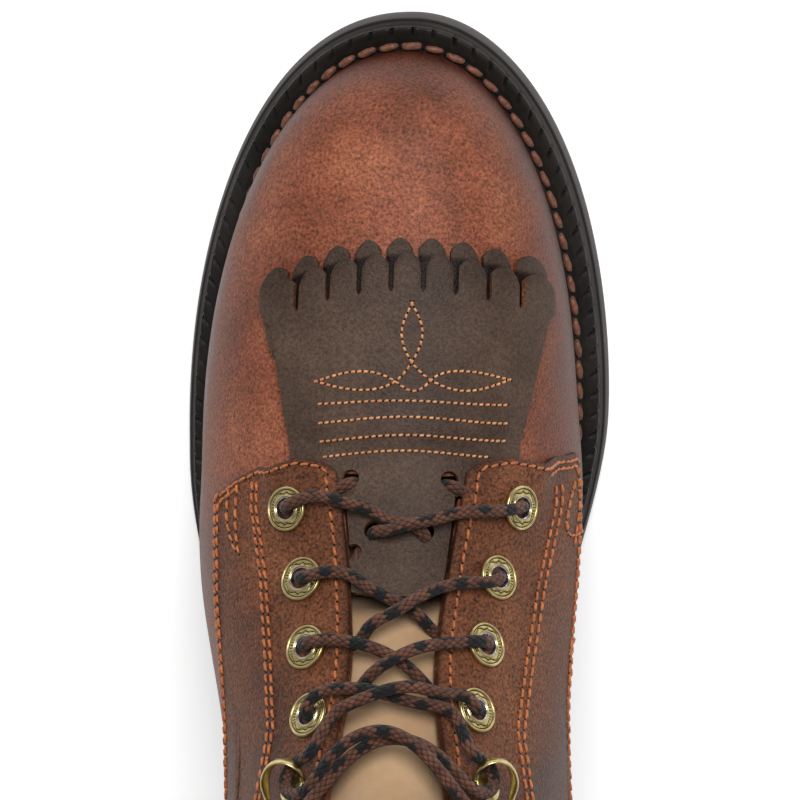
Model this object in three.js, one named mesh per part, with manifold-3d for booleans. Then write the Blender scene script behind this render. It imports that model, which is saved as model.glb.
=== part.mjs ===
// A left packer boot: last-shaped leather upper on a welted sole with a packer heel.
// The toe points along -Y, the outer (lateral) side of the foot lies along +X, and +Z is up.
// Lengths are millimetres. "Along" is measured forwards from the back of the heel.
import * as THREE from 'three';
import { mergeVertices } from 'three/addons/utils/BufferGeometryUtils.js';
import Module from 'manifold-3d';

const wasm = await Module();
wasm.setup();

// Driving sizes
const soleLength = 310;
const ballWidth = 113.6;
const collarHeight = 238;
const heelHeight = 38;
const heelLength = 78;
const toeSpring = 11;
const outsoleThickness = 6.5;
const weltThickness = 3.6;
const liftThickness = 6;
const gap = 0.3;

// How far each layer of the sole stands in from the outsole's foot
const outsoleFlare = 1.3;
const weltStep = 1.2;
const weltShow = 6.4;
const weltShowHeel = 2.4;

// Leather thicknesses
const wall = 2;
const quarterStep = 1.2;

// Smooth step from 0 to 1
function ease(x) {
  const q = Math.min(1, Math.max(0, x));
  return q * q * (3 - 2 * q);
}

// Evenly spaced numbers from first to last
function steps(first, last, count) {
  return Array.from({ length: count + 1 }, (_, i) => first + (last - first) * i / count);
}

// Natural cubic spline through knots; level ends where flat is true
function spline(knots, values, flat = false) {
  const n = knots.length;
  const h = knots.slice(1).map((k, i) => k - knots[i]);
  const lower = new Array(n).fill(0);
  const middle = new Array(n).fill(1);
  const upper = new Array(n).fill(0);
  const right = new Array(n).fill(0);
  for (let i = 1; i < n - 1; i++) {
    lower[i] = h[i - 1];
    middle[i] = 2 * (h[i - 1] + h[i]);
    upper[i] = h[i];
    right[i] = 6 * ((values[i + 1] - values[i]) / h[i] - (values[i] - values[i - 1]) / h[i - 1]);
  }
  if (flat) {
    middle[0] = 2 * h[0];
    upper[0] = h[0];
    right[0] = 6 * (values[1] - values[0]) / h[0];
    middle[n - 1] = 2 * h[n - 2];
    lower[n - 1] = h[n - 2];
    right[n - 1] = -6 * (values[n - 1] - values[n - 2]) / h[n - 2];
  }
  for (let i = 1; i < n; i++) {
    const k = lower[i] / middle[i - 1];
    middle[i] -= k * upper[i - 1];
    right[i] -= k * right[i - 1];
  }
  const bend = new Array(n).fill(0);
  bend[n - 1] = right[n - 1] / middle[n - 1];
  for (let i = n - 2; i >= 0; i--) {
    bend[i] = (right[i] - upper[i] * bend[i + 1]) / middle[i];
  }
  return (x) => {
    let i = 0;
    while (i < n - 2 && x > knots[i + 1]) i++;
    const a = (knots[i + 1] - x) / h[i];
    const b = (x - knots[i]) / h[i];
    const cubic = (a * a * a - a) * bend[i] + (b * b * b - b) * bend[i + 1];
    return a * values[i] + b * values[i + 1] + cubic * h[i] * h[i] / 6;
  };
}

// The sole seen from above. Half widths are shares of ballWidth, places are shares of soleLength.
// Past cap the outline rounds off to the toe, and behind heelCap to the back of the heel.
const heelCap = 0.13;
const toeShift = -0.038;
const heelShift = -0.045;
const straightBack = 0.25;
const outline = {
  lateral: {
    cap: 0.6,
    power: 2.2,
    waist: [[0.13, 0.333], [0.24, 0.336], [0.33, 0.358], [0.42, 0.415], [0.5, 0.478], [0.56, 0.508], [0.6, 0.514]],
  },
  medial: {
    cap: 0.65,
    power: 1.95,
    waist: [[0.13, 0.325], [0.22, 0.306], [0.3, 0.292], [0.37, 0.306], [0.45, 0.356], [0.53, 0.428],
      [0.6, 0.476], [0.65, 0.488]],
  },
};
for (const side of Object.values(outline)) {
  side.half = spline(side.waist.map((r) => r[0]), side.waist.map((r) => r[1]), true);
}

// Side of the foot: +1 lateral, -1 medial
const sideName = (sign) => (sign > 0 ? 'lateral' : 'medial');

// The middle of the outline turns inwards to the toe, and inwards again to the heel
function middle(along) {
  const share = along / soleLength;
  const ball = outline.lateral.cap;
  if (share > ball) return toeShift * ballWidth * ((share - ball) / (1 - ball)) ** 2;
  return heelShift * ballWidth * (1 - ease((share - straightBack) / (ball - straightBack)));
}

// Where the outline lies across, at a place along, when it is drawn in by inset
function edge(sign, along, inset) {
  const { cap, power, half } = outline[sideName(sign)];
  const front = cap * soleLength;
  const back = heelCap * soleLength;
  let width = half(along / soleLength) * ballWidth - inset;
  if (along > front) {
    const q = Math.min(1, (along - front) / (soleLength - inset - front));
    width = (half(cap) * ballWidth - inset) * (1 - q ** power) ** (1 / power);
  } else if (along < back) {
    const q = Math.min(1, (back - along) / (back - inset));
    width = (half(heelCap) * ballWidth - inset) * Math.sqrt(1 - q * q);
  }
  return middle(along) + sign * width;
}

// Height of the outsole's underside: flat under the tread, up over the arch to the heel seat
const treadFront = 0.8;
const treadBack = 0.62;
const seatFront = 0.27;
function underside(along) {
  const share = along / soleLength;
  if (share > treadFront) return toeSpring * ((share - treadFront) / (1 - treadFront)) ** 2;
  const seat = heelHeight - outsoleThickness;
  return seat * ease((treadBack - share) / (treadBack - seatFront));
}
const weltBase = (along) => underside(along) + outsoleThickness + gap;
const feather = (along) => weltBase(along) + weltThickness + gap;

// The upper meets the welt along this inset, which is narrower round the heel
const showFront = 0.5;
const showBack = 0.28;
function featherInset(along) {
  const share = ease((along / soleLength - showBack) / (showFront - showBack));
  return outsoleFlare + weltStep + weltShowHeel + (weltShow - weltShowHeel) * share;
}

// Sections of the upper, from the toe to the collar. Each runs from a front point on the crown down
// to a foot point, on the feather line or, past the corner row, up the back seam.
// along: share of soleLength; up: share of the way from the feather line to the collar;
// ridge: how far the crown leans across, medial and lateral: how far the widest place stands out
// past the feather line, all shares of ballWidth; widest: its share of the way down;
// crown: roundness over the top.
const columns = ['frontAlong', 'frontUp', 'footAlong', 'footUp', 'ridge', 'medial', 'lateral', 'widest',
  'crown'];
const toeEnd = 1 - featherInset(soleLength) / soleLength;
const heelEnd = featherInset(0) / soleLength;
const cornerRow = 15;

// The back seam from the side: share of the way up, share of soleLength along
const seamUps = [0, 0.08, 0.2, 0.36, 0.6, 1];
const backSeam = spline(seamUps, [heelEnd, 0.008, 0.014, 0.029, 0.034, 0.018]);
const sections = [
  [toeEnd, 0, toeEnd, 0, 0, 0, 0, 0.6, 2],
  [0.9695, 0.045, 0.9695, 0, -0.002, 0.002, 0.002, 0.6, 2.05],
  [0.963, 0.087, 0.963, 0, -0.004, 0.005, 0.005, 0.61, 2.1],
  [0.949, 0.128, 0.949, 0, -0.007, 0.008, 0.008, 0.62, 2.12],
  [0.92, 0.17, 0.92, 0, -0.012, 0.01, 0.01, 0.64, 2.15],
  [0.875, 0.207, 0.875, 0, -0.02, 0.011, 0.01, 0.66, 2.15],
  [0.818, 0.241, 0.818, 0, -0.032, 0.01, 0.009, 0.68, 2.1],
  [0.757, 0.274, 0.75, 0, -0.044, 0.01, 0.007, 0.7, 2.05],
  [0.7, 0.308, 0.67, 0, -0.055, 0.013, 0.003, 0.71, 2],
  [0.652, 0.354, 0.58, 0, -0.064, 0.04, 0, 0.71, 2],
  [0.607, 0.41, 0.47, 0, -0.068, 0.085, 0.012, 0.68, 2],
  [0.564, 0.468, 0.35, 0, -0.07, 0.13, 0.022, 0.64, 2],
  [0.525, 0.528, 0.235, 0, -0.071, 0.15, 0.037, 0.6, 2],
  [0.49, 0.593, 0.135, 0, -0.07, 0.157, 0.056, 0.56, 2],
  [0.462, 0.655, 0.055, 0, -0.068, 0.16, 0.076, 0.54, 2],
  [0.442, 0.715, heelEnd, 0, -0.064, 0.163, 0.096, 0.52, 2],
  [0.428, 0.775, heelEnd, 0.14, -0.06, 0.166, 0.114, 0.51, 2.05],
  [0.417, 0.84, heelEnd, 0.33, -0.056, 0.17, 0.128, 0.5, 2.1],
  [0.408, 0.915, heelEnd, 0.6, -0.052, 0.175, 0.143, 0.5, 2.1],
  [0.4, 1, heelEnd, 0.97, -0.046, 0.185, 0.16, 0.5, 2.1],
];

// A column as a function of the row number; the foot point turns up the back at the corner row
function columnSpline(name) {
  const at = columns.indexOf(name);
  const values = sections.map((row) => row[at]);
  const knots = values.map((_, i) => i);
  if (name === 'footAlong') return spline(knots.slice(0, cornerRow + 1), values.slice(0, cornerRow + 1));
  if (name === 'footUp') {
    const after = spline(knots.slice(cornerRow), values.slice(cornerRow));
    return (row) => Math.max(0, after(Math.max(row, cornerRow)));
  }
  return spline(knots, values);
}
const section = Object.fromEntries(columns.map((name) => [name, columnSpline(name)]));
const lastRow = sections.length - 1;

// Share of a section's way round that lies above its widest place
const crownShare = 0.62;
const heightAt = (along, up) => feather(along) + up * (collarHeight - feather(along));

// How the plan rounds in to the back seam, over a length that grows from the heel to the collar
const collarRound = 58;
const flareUp = 0.3;
function heelRound(along, height) {
  const up = Math.max(0, (height - feather(0)) / (collarHeight - feather(0)));
  const length = heelCap * soleLength - featherInset(0);
  const reach = length + (collarRound - length) * Math.min(1, up);
  const seam = backSeam(up) * soleLength;
  const q = Math.min(1, Math.max(0, (seam + reach - along) / reach));
  return Math.sqrt(1 - q * q);
}

// A point of the upper's outer surface: row 0 toe to lastRow collar,
// round -1 medial foot point, 0 crown, +1 lateral foot point
function surface(row, round) {
  const get = (name) => section[name](row);
  const sign = round < 0 ? -1 : 1;
  const turn = Math.abs(round);
  const frontAlong = get('frontAlong') * soleLength;
  const seamUp = get('footUp');
  const footAlong = (row <= cornerRow ? get('footAlong') : backSeam(seamUp)) * soleLength;
  const frontUp = heightAt(frontAlong, get('frontUp'));
  const footUp = heightAt(footAlong, seamUp);
  const widest = get('widest');
  const widestAlong = frontAlong + (footAlong - frontAlong) * widest;
  const bulge = get(sideName(sign)) * ballWidth;
  const wide = edge(sign, widestAlong, featherInset(widestAlong)) + sign * bulge;
  let down;
  let across;
  if (turn < crownShare) {
    const angle = turn / crownShare * Math.PI / 2;
    const power = 2 / get('crown');
    const ridge = middle(frontAlong) + get('ridge') * ballWidth;
    down = widest * (1 - Math.cos(angle) ** power);
    across = ridge + (wide - ridge) * Math.sin(angle) ** power;
  } else {
    const angle = (turn - crownShare) / (1 - crownShare) * Math.PI / 2;
    const clear = Math.max(footAlong, heelCap * soleLength);
    const flank = edge(sign, clear, featherInset(footAlong));
    const foot = flank + (wide - flank) * ease(seamUp / flareUp);
    down = widest + (1 - widest) * Math.sin(angle);
    across = wide + (foot - wide) * Math.sin(angle) ** 2;
  }
  const along = frontAlong + (footAlong - frontAlong) * down;
  const up = frontUp + (footUp - frontUp) * down;
  const centre = middle(along);
  return new THREE.Vector3(centre + (across - centre) * heelRound(along, up), -along, up);
}

// Outward direction of the surface; straight ahead at the toe's tip, level along the feather line
function outward(row, round) {
  const forward = new THREE.Vector3(0, -1, 0);
  const tipRow = 0.02;
  if (row < tipRow) return forward;
  const step = 0.01;
  const direction = (at) => {
    const low = Math.max(-1, at - step);
    const high = Math.min(1, at + step);
    const across = surface(row, high).sub(surface(row, low));
    const near = Math.min(lastRow, row);
    const rise = surface(Math.min(lastRow, row + step), at).sub(surface(near - step, at));
    return across.cross(rise).normalize();
  };
  const normal = direction(round);
  if (Math.abs(round) === 1) {
    if (row >= cornerRow) {
      normal.add(direction(-round));
      normal.x = 0;
    }
    if (row <= cornerRow) normal.z = 0;
    normal.normalize();
  }
  return normal;
}

// A point at a height over the surface; what lies inside it stays just above the feather line
const tipLip = 0.5;
function raised(row, round, height) {
  const point = surface(row, round).addScaledVector(outward(row, round), height);
  const lip = tipLip * Math.min(1, row) * (1 - round * round);
  if (height < 0) point.z = Math.max(point.z, feather(-point.y) + lip);
  return point;
}

// Geometry helpers: every shape becomes one closed solid
function geometryOf(points, faces) {
  const geometry = new THREE.BufferGeometry().setFromPoints(points);
  geometry.setIndex(faces.flat());
  return geometry;
}

const weldDistance = 0.001;
function solidOf(geometry) {
  const bare = new THREE.BufferGeometry();
  bare.setAttribute('position', geometry.getAttribute('position').clone());
  if (geometry.index) bare.setIndex(geometry.index.clone());
  const welded = mergeVertices(bare, weldDistance);
  const place = welded.getAttribute('position');
  const index = welded.index.array;
  const corner = (k) => new THREE.Vector3().fromBufferAttribute(place, k);
  const faces = [];
  let volume = 0;
  for (let i = 0; i < index.length; i += 3) {
    const [a, b, c] = [index[i], index[i + 1], index[i + 2]];
    if (a === b || b === c || c === a) continue;
    faces.push([a, b, c]);
    volume += corner(a).dot(corner(b).cross(corner(c)));
  }
  const ordered = volume > 0 ? faces : faces.map(([a, b, c]) => [a, c, b]);
  return new wasm.Manifold(new wasm.Mesh({
    numProp: 3,
    vertProperties: new Float32Array(place.array),
    triVerts: new Uint32Array(ordered.flat()),
  }));
}

function geometryFrom(solid) {
  const mesh = solid.getMesh();
  const geometry = new THREE.BufferGeometry();
  geometry.setAttribute('position', new THREE.BufferAttribute(mesh.vertProperties, 3));
  geometry.setIndex(new THREE.BufferAttribute(mesh.triVerts, 1));
  geometry.computeVertexNormals();
  return geometry;
}

// Quads between two rings of as many points
function band(first, second, count, closed = true) {
  const faces = [];
  for (let i = 0; i < (closed ? count : count - 1); i++) {
    const next = (i + 1) % count;
    faces.push([first + i, first + next, second + next], [first + i, second + next, second + i]);
  }
  return faces;
}

// Rows of the upper's mesh, closer together at the toe and over the arch
const halfRow = 0.5;
const upperRows = [0, halfRow, ...steps(2 * halfRow, cornerRow - 2 * halfRow, 19), cornerRow - halfRow,
  ...steps(cornerRow, lastRow, 4)];
const upperRounds = [...steps(-1, -crownShare, 3), ...steps(-crownShare, crownShare, 16).slice(1, -1),
  ...steps(crownShare, 1, 3)];

// Stations along the sole: close together at both ends, and under the upper's rows over the arch
const endStations = 8;
const heelStations = steps(0, Math.PI / 2, endStations).map((a) => heelCap * soleLength * (1 - Math.cos(a)));
const ballAlong = outline.lateral.cap * soleLength;
const toeStations = steps(0, Math.PI / 2, 2 * endStations).map((a) => (
  ballAlong + (soleLength - ballAlong) * Math.sin(a)));
const archStations = upperRows.filter((row) => row < cornerRow)
  .map((row) => section.footAlong(row) * soleLength)
  .filter((along) => along > heelCap * soleLength + 1 && along < ballAlong - 1)
  .reverse();
const stations = [...heelStations, ...archStations, ...toeStations];

// The outline as a loop of points, drawn in by inset, at a height that follows the sole
function outlineLoop(inset, height) {
  const insetAt = typeof inset === 'function' ? inset : () => inset;
  const back = heelCap * soleLength;
  const drawnIn = stations.map((along) => {
    if (along < back) return insetAt(0) + along * (back - insetAt(0)) / back;
    if (along <= ballAlong) return along;
    const reach = (soleLength - insetAt(soleLength) - ballAlong) / (soleLength - ballAlong);
    return ballAlong + (along - ballAlong) * reach;
  });
  const point = (sign, along) => new THREE.Vector3(edge(sign, along, insetAt(along)), -along, height(along));
  const lateral = drawnIn.map((along) => point(1, along));
  const medial = drawnIn.slice(1, -1).reverse().map((along) => point(-1, along));
  return [...lateral, ...medial];
}

// A solid plate through loops stacked upwards
function plate(loops) {
  const count = loops[0].length;
  const faces = [];
  loops.slice(1).forEach((_, i) => faces.push(...band(i * count, (i + 1) * count, count)));
  const cap = (start, flip) => {
    for (let i = 0; i < stations.length - 1; i++) {
      const right = [i, i + 1];
      const left = [(count - i) % count, count - i - 1];
      const quad = [[right[0], right[1], left[1]], [right[0], left[1], left[0]]];
      for (const [a, b, c] of quad) {
        faces.push(flip ? [start + a, start + c, start + b] : [start + a, start + b, start + c]);
      }
    }
  };
  cap(0, true);
  cap((loops.length - 1) * count, false);
  return solidOf(geometryOf(loops.flat(), faces));
}

// A closed ring whose section runs through the loops in turn
function ring(loops) {
  const count = loops[0].length;
  const faces = loops.flatMap((_, i) => band(i * count, ((i + 1) % loops.length) * count, count));
  return solidOf(geometryOf(loops.flat(), faces));
}

// A slab that follows the upper between two heights over its surface.
// rows: row numbers; rounds(row): places round; low and high: heights, numbers or functions.
function slab(rows, rounds, low, high) {
  const height = (value, row, round) => (typeof value === 'function' ? value(row, round) : value);
  const grid = rows.map((row) => rounds(row).map((round) => ({ row, round })));
  const across = grid[0].length;
  const cells = grid.flat();
  const top = cells.map(({ row, round }) => raised(row, round, height(high, row, round)));
  const bottom = cells.map(({ row, round }) => raised(row, round, height(low, row, round)));
  const size = cells.length;
  const faces = [];
  for (let r = 0; r < rows.length - 1; r++) {
    for (let c = 0; c < across - 1; c++) {
      const at = r * across + c;
      const [a, b, d, e] = [at, at + 1, at + across, at + across + 1];
      faces.push([a, b, e], [a, e, d], [size + a, size + e, size + b], [size + a, size + d, size + e]);
    }
  }
  const wallFaces = (path) => {
    for (let i = 0; i < path.length - 1; i++) {
      const [a, b] = [path[i], path[i + 1]];
      faces.push([a, size + a, size + b], [a, size + b, b]);
    }
  };
  const open = (at) => Math.abs(cells[at].round) < 1 || cells[at].row < cornerRow;
  const side = (c) => rows.map((_, r) => r * across + c);
  const sideFaces = (c, backwards) => {
    const path = side(c);
    for (let r = 0; r < rows.length - 1; r++) {
      if (!open(path[r])) continue;
      wallFaces(backwards ? [path[r + 1], path[r]] : [path[r], path[r + 1]]);
    }
  };
  const span = (r) => Array.from({ length: across }, (_, c) => r * across + c);
  wallFaces(span(0));
  wallFaces(span(rows.length - 1).reverse());
  sideFaces(0, true);
  sideFaces(across - 1, false);
  return solidOf(geometryOf([...top, ...bottom], faces));
}

// Prisms that trim the forms: seen from the side [along, up] and from above [across, along]
const reach = 200;
function prism(points, depth) {
  const shape = new THREE.Shape(points.map(([x, y]) => new THREE.Vector2(x, y)));
  return new THREE.ExtrudeGeometry(shape, { depth, bevelEnabled: false });
}
function sidePrism(points, from = -reach, to = reach) {
  const geometry = prism(points.map(([along, up]) => [-along, up]), to - from);
  const turned = new THREE.Matrix4().makeBasis(
    new THREE.Vector3(0, 1, 0),
    new THREE.Vector3(0, 0, 1),
    new THREE.Vector3(1, 0, 0),
  );
  return solidOf(geometry.applyMatrix4(turned).translate(from, 0, 0));
}
function planPrism(points) {
  return solidOf(prism(points.map(([across, along]) => [across, -along]), 2 * reach));
}

// Sole
const soleTop = (along) => underside(along) + outsoleThickness;
function makeOutsole() {
  return plate([outlineLoop(0, underside), outlineLoop(outsoleFlare, soleTop)]);
}

const weltInset = outsoleFlare + weltStep;
const wallInside = (along) => featherInset(along) + wall;
function makeWelt() {
  const top = (along) => weltBase(along) + weltThickness;
  return ring([
    outlineLoop(weltInset, weltBase),
    outlineLoop(weltInset, top),
    outlineLoop(wallInside, top),
    outlineLoop(wallInside, weltBase),
  ]);
}

const insoleProud = 0.8;
const insoleClear = 1.6;
function makeInsole() {
  const inside = (along) => wallInside(along) + insoleClear;
  const top = (along) => feather(along) + insoleProud;
  return plate([outlineLoop(inside, weltBase), outlineLoop(inside, top)]);
}

// The heel stands in below the outsole and tapers down to its lift; its breast slopes under
const heelInset = 1;
const heelTaper = 4;
const breastSlope = 5;
function heelSlice(bottom, top) {
  const seat = heelHeight - outsoleThickness;
  const inset = (height) => heelInset + heelTaper * (seat - height) / seat;
  const breast = (height) => heelLength - breastSlope * (seat - height) / seat;
  const block = plate([outlineLoop(inset(bottom), () => bottom), outlineLoop(inset(top), () => top)]);
  const keep = sidePrism([[-reach, -reach], [breast(-reach), -reach], [breast(reach), reach], [-reach, reach]]);
  return block.intersect(keep);
}
const makeHeel = () => heelSlice(liftThickness + gap, heelHeight - outsoleThickness - gap);
const makeLift = () => heelSlice(0, liftThickness);

// Throat: half the gap between the facings, by row, as a share of ballWidth
const throatRow = 8.45;
const throatRows = [8, 9, 10, 11, 12, 13, 15, 19.5];
const throatShare = spline(throatRows, [0.139, 0.118, 0.102, 0.091, 0.109, 0.13, 0.15, 0.176]);
const throatHalf = (row) => throatShare(row) * ballWidth;
const crownX = (row) => surface(row, 0).x;

// Place round the upper where its surface lies at an offset across from the crown
function roundAt(row, offset) {
  let low = 0;
  let high = crownShare;
  const sign = Math.sign(offset) || 1;
  for (let i = 0; i < 30; i++) {
    const mid = (low + high) / 2;
    if (Math.abs(surface(row, sign * mid).x - crownX(row)) < Math.abs(offset)) low = mid;
    else high = mid;
  }
  return sign * low;
}
// Row whose place on the crown lies at an along
function rowAt(along) {
  let low = 1;
  let high = lastRow;
  for (let i = 0; i < 30; i++) {
    const mid = (low + high) / 2;
    if (-surface(mid, 0).y > along) low = mid;
    else high = mid;
  }
  return low;
}
const roundsBetween = (half, count) => (row) => {
  const offset = typeof half === 'function' ? half(row) : half;
  return steps(roundAt(row, -offset), roundAt(row, offset), count);
};

// Kiltie: a fringed leather flap over the vamp. Its top layer passes under the facings' front edge
// and its neck fills the throat; the lower layer shows as a second fringe.
const kiltieThickness = 1.5;
const kiltieGap = 0.5;
const teeth = 9;
const fringeAlong = 0.8435 * soleLength;
const fringeHalf = 0.3134 * ballWidth;
const fringeBow = 0.0352 * soleLength;
const toothLength = 9.2;
const toothDrop = 3;
const toothRound = 0.9;
const slitWidth = 1.1;
const lowerReach = 4;
const lowerShift = 2.2;
const lowerEnd = 0.729 * soleLength;
const kiltieHalf = 0.2465 * ballWidth;
const neckEnd = 0.603 * soleLength;
const kiltieAcross = -0.0634 * ballWidth;

// The facings' front edge lies over the kiltie: how far it is lifted there, 0 to 1
const pocketFront = 0.668 * soleLength;
const pocketBack = 0.613 * soleLength;
const pocketMargin = 2.5;
const pocketSpread = 6;
function pocket(row, round) {
  const point = surface(row, round);
  const offset = Math.abs(point.x - kiltieAcross);
  const forwards = ease((-point.y - pocketBack) / (pocketFront - pocketBack));
  return forwards * ease((kiltieHalf + pocketMargin + pocketSpread - offset) / pocketSpread);
}
const pocketHeight = kiltieGap + kiltieThickness + 2 * kiltieGap;
const quarterBite = 1.2;
const quarterLow = (row, round) => {
  const share = pocket(row, round);
  return -quarterBite + share * (pocketHeight + quarterBite);
};
const quarterTop = (row, round) => quarterStep + pocket(row, round) * pocketHeight;

// Quarters: everything behind the facings' front edge and above the side seam
// Facing edge from above: offset across from the kiltie's middle as a share of ballWidth,
// along as a share of soleLength
const facingEdge = [[0.114, 0.6645], [0.127, 0.6774], [0.144, 0.6845], [0.172, 0.6877], [0.229, 0.6871],
  [0.273, 0.68], [0.326, 0.6687], [0.379, 0.6548], [0.423, 0.6371], [1, 0.484]]
  .map(([offset, along]) => [offset * ballWidth, along * soleLength]);
// Side seam: along as a share of soleLength, lateral and medial height as shares of collarHeight
const sideSeam = [[1, 0.252, 0.185], [0.645, 0.269, 0.202], [0.6, 0.3235, 0.227], [0.535, 0.357, 0.286],
  [0.468, 0.37, 0.34], [0.371, 0.374, 0.37], [0.194, 0.361, 0.361], [0.065, 0.345, 0.345], [-0.2, 0.336, 0.336]]
  .map(([along, ...heights]) => [along * soleLength, ...heights.map((up) => up * collarHeight)]);
const quarterFront = throatRow - 0.5;
const behindKiltie = 9.75;
const quarterRows = [...steps(quarterFront, behindKiltie, 6), ...upperRows.filter((row) => row > 10)];
function makeQuarters() {
  const layer = slab(quarterRows, () => upperRounds, quarterLow, quarterTop);
  const front = [...facingEdge.map(([offset, along]) => [kiltieAcross + offset, along]),
    [reach, -reach], [-reach, -reach],
    ...facingEdge.map(([offset, along]) => [kiltieAcross - offset, along]).reverse()];
  const above = (column, from, to) => sidePrism([
    ...sideSeam.map((seam) => [seam[0], seam[column]]),
    [-reach, 2 * reach],
    [soleLength, 2 * reach],
  ], from, to);
  const seams = above(1, kiltieAcross, reach).add(above(2, -reach, kiltieAcross));
  return layer.intersect(planPrism(front)).intersect(seams);
}

const cutDepth = 10;
const overRun = 0.4;
function makeOpening() {
  const rows = [throatRow, ...steps(9, lastRow, 14), lastRow + overRun];
  return slab(rows, roundsBetween(throatHalf, 4), -cutDepth, cutDepth);
}

// Places on the facings, measured along the boot and across from the crown
function rowFor(along, offset) {
  let low = 7;
  let high = lastRow;
  for (let i = 0; i < 30; i++) {
    const mid = (low + high) / 2;
    if (-surface(mid, roundAt(mid, offset)).y > along) low = mid;
    else high = mid;
  }
  return low;
}
const onFacing = (row, offset, lift = 0) => {
  const round = roundAt(row, offset);
  return raised(row, round, quarterTop(row, round) + lift);
};
function nextRow(row, offset, pitch) {
  const start = onFacing(row, offset);
  let low = row;
  let high = lastRow;
  for (let i = 0; i < 30; i++) {
    const mid = (low + high) / 2;
    if (onFacing(mid, offset).distanceTo(start) < pitch) low = mid;
    else high = mid;
  }
  return low;
}

// Axes on a facing: outwards from the throat, out of the leather, up the leg
function facingAxes(row, offset) {
  const step = 0.12;
  const spread = 2;
  const up = onFacing(row + step, offset).sub(onFacing(row - step, offset)).normalize();
  const side = Math.sign(offset);
  const away = onFacing(row, offset + side * spread).sub(onFacing(row, offset - side * spread)).normalize();
  const out = new THREE.Vector3().crossVectors(up, away).multiplyScalar(-side).normalize();
  const level = new THREE.Vector3().crossVectors(out, up).multiplyScalar(-side).normalize();
  return { away: level, out, up };
}

// Eyelets and hooks, first to last: offsets across from the crown as shares of ballWidth.
// The hooks share what is left of the facing above the eyelets.
const firstEyelet = 0.6446 * soleLength;
const eyeletPitch = 17.3;
const eyeletOffsets = [0.231, 0.199, 0.179, 0.164];
const hookOffsets = [0.1884, 0.21, 0.226, 0.238, 0.248, 0.257];
const hookMargin = 16.5;

function fastenings(sign) {
  const first = sign * eyeletOffsets[0] * ballWidth;
  const places = [{ row: rowFor(firstEyelet, first), offset: first }];
  const follow = (offsets, pitch) => offsets.forEach((share) => {
    const offset = sign * share * ballWidth;
    places.push({ row: nextRow(places.at(-1).row, offset, pitch), offset });
  });
  follow(eyeletOffsets.slice(1), eyeletPitch);
  const { row, offset } = places.at(-1);
  const left = onFacing(row, offset).distanceTo(onFacing(lastRow, offset)) - hookMargin;
  follow(hookOffsets, left / hookOffsets.length);
  return { eyelets: places.slice(0, eyeletOffsets.length), hooks: places.slice(eyeletOffsets.length) };
}
const lateral = fastenings(1);
const medial = fastenings(-1);

const eyeletRadius = 5.9;
const barrelRadius = 3.3;
const boreRadius = 2.8;
const flangeHeight = 1;
const eyeletSides = 8;
const seating = 0.5;
function eyeletShape() {
  const foot = seating;
  const top = foot + flangeHeight;
  const profile = [
    [boreRadius, -quarterStep - wall], [barrelRadius, -quarterStep - wall], [barrelRadius, foot],
    [eyeletRadius, foot], [eyeletRadius, foot + flangeHeight * 0.4], [(eyeletRadius + boreRadius) / 2, top],
    [boreRadius, top - flangeHeight * 0.3], [boreRadius, -quarterStep - wall],
  ];
  return new THREE.LatheGeometry(profile.map(([x, y]) => new THREE.Vector2(x, y)), eyeletSides);
}

// Puts a shape on a facing: its x points away from the throat, its y out of the leather
function seatOn(place, shape) {
  const { away, out } = facingAxes(place.row, place.offset);
  const along = new THREE.Vector3().crossVectors(away, out);
  const frame = new THREE.Matrix4().makeBasis(away, out, along);
  frame.setPosition(onFacing(place.row, place.offset));
  return solidOf(shape.applyMatrix4(frame));
}

function eyeletHole(place) {
  const drill = new THREE.CylinderGeometry(barrelRadius + gap, barrelRadius + gap, 2 * cutDepth, eyeletSides);
  return seatOn(place, drill);
}

const hookWidth = 6;
const hookLeaf = 1.1;
const hookThroat = 2.1;
const hookArm = 6;
const hookFoot = 4.5;
const hookLip = 1.3;
const hookBend = 1;
function hookShape() {
  const shape = new THREE.Shape();
  const outer = hookThroat + hookLeaf;
  const centre = seating + outer;
  const arm = centre + hookThroat;
  shape.moveTo(hookFoot, seating);
  shape.absarc(-hookFoot + hookLeaf, centre, outer, -Math.PI / 2, Math.PI / 2, true);
  shape.lineTo(hookArm - hookBend, arm + hookLeaf);
  shape.lineTo(hookArm, arm + hookLeaf + hookLip);
  shape.lineTo(hookArm + hookLeaf, arm + hookLip);
  shape.lineTo(hookArm - hookBend + hookLeaf / 2, arm);
  shape.absarc(-hookFoot + hookLeaf, centre, hookThroat, Math.PI / 2, -Math.PI / 2, false);
  shape.lineTo(hookFoot, seating + hookLeaf);
  const geometry = new THREE.ExtrudeGeometry(shape, { depth: hookWidth, bevelEnabled: false, curveSegments: 3 });
  return geometry.translate(0, 0, -hookWidth / 2);
}

function makeUpper() {
  const shell = slab(upperRows, () => upperRounds, -wall, 0);
  const drills = [...lateral.eyelets, ...medial.eyelets].map((place) => eyeletHole(place));
  return drills.reduce((solid, drill) => solid.subtract(drill), shell.add(makeQuarters()).subtract(makeOpening()));
}

// Tongue: a strip under the throat, deeper where the lace needs room above it
const tongueThickness = 2.6;
const tongueFront = 0.729 * soleLength;
const tongueHalf = 33;
const tongueOver = 0.5;
const frontClear = 0.7;
const laceRoom = 3.7;
const roomRows = 0.9;
const roomLead = 0.3;
const bendRow = 10;
function makeTongue() {
  const top = (row) => -wall - frontClear - (laceRoom - frontClear) * ease((row - throatRow + roomLead) / roomRows);
  const rows = [...steps(rowAt(tongueFront), bendRow, 6), ...steps(bendRow, lastRow, 8).slice(1),
    lastRow + tongueOver];
  return slab(rows, roundsBetween(tongueHalf, 6), (row) => top(row) - tongueThickness, top);
}

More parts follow.
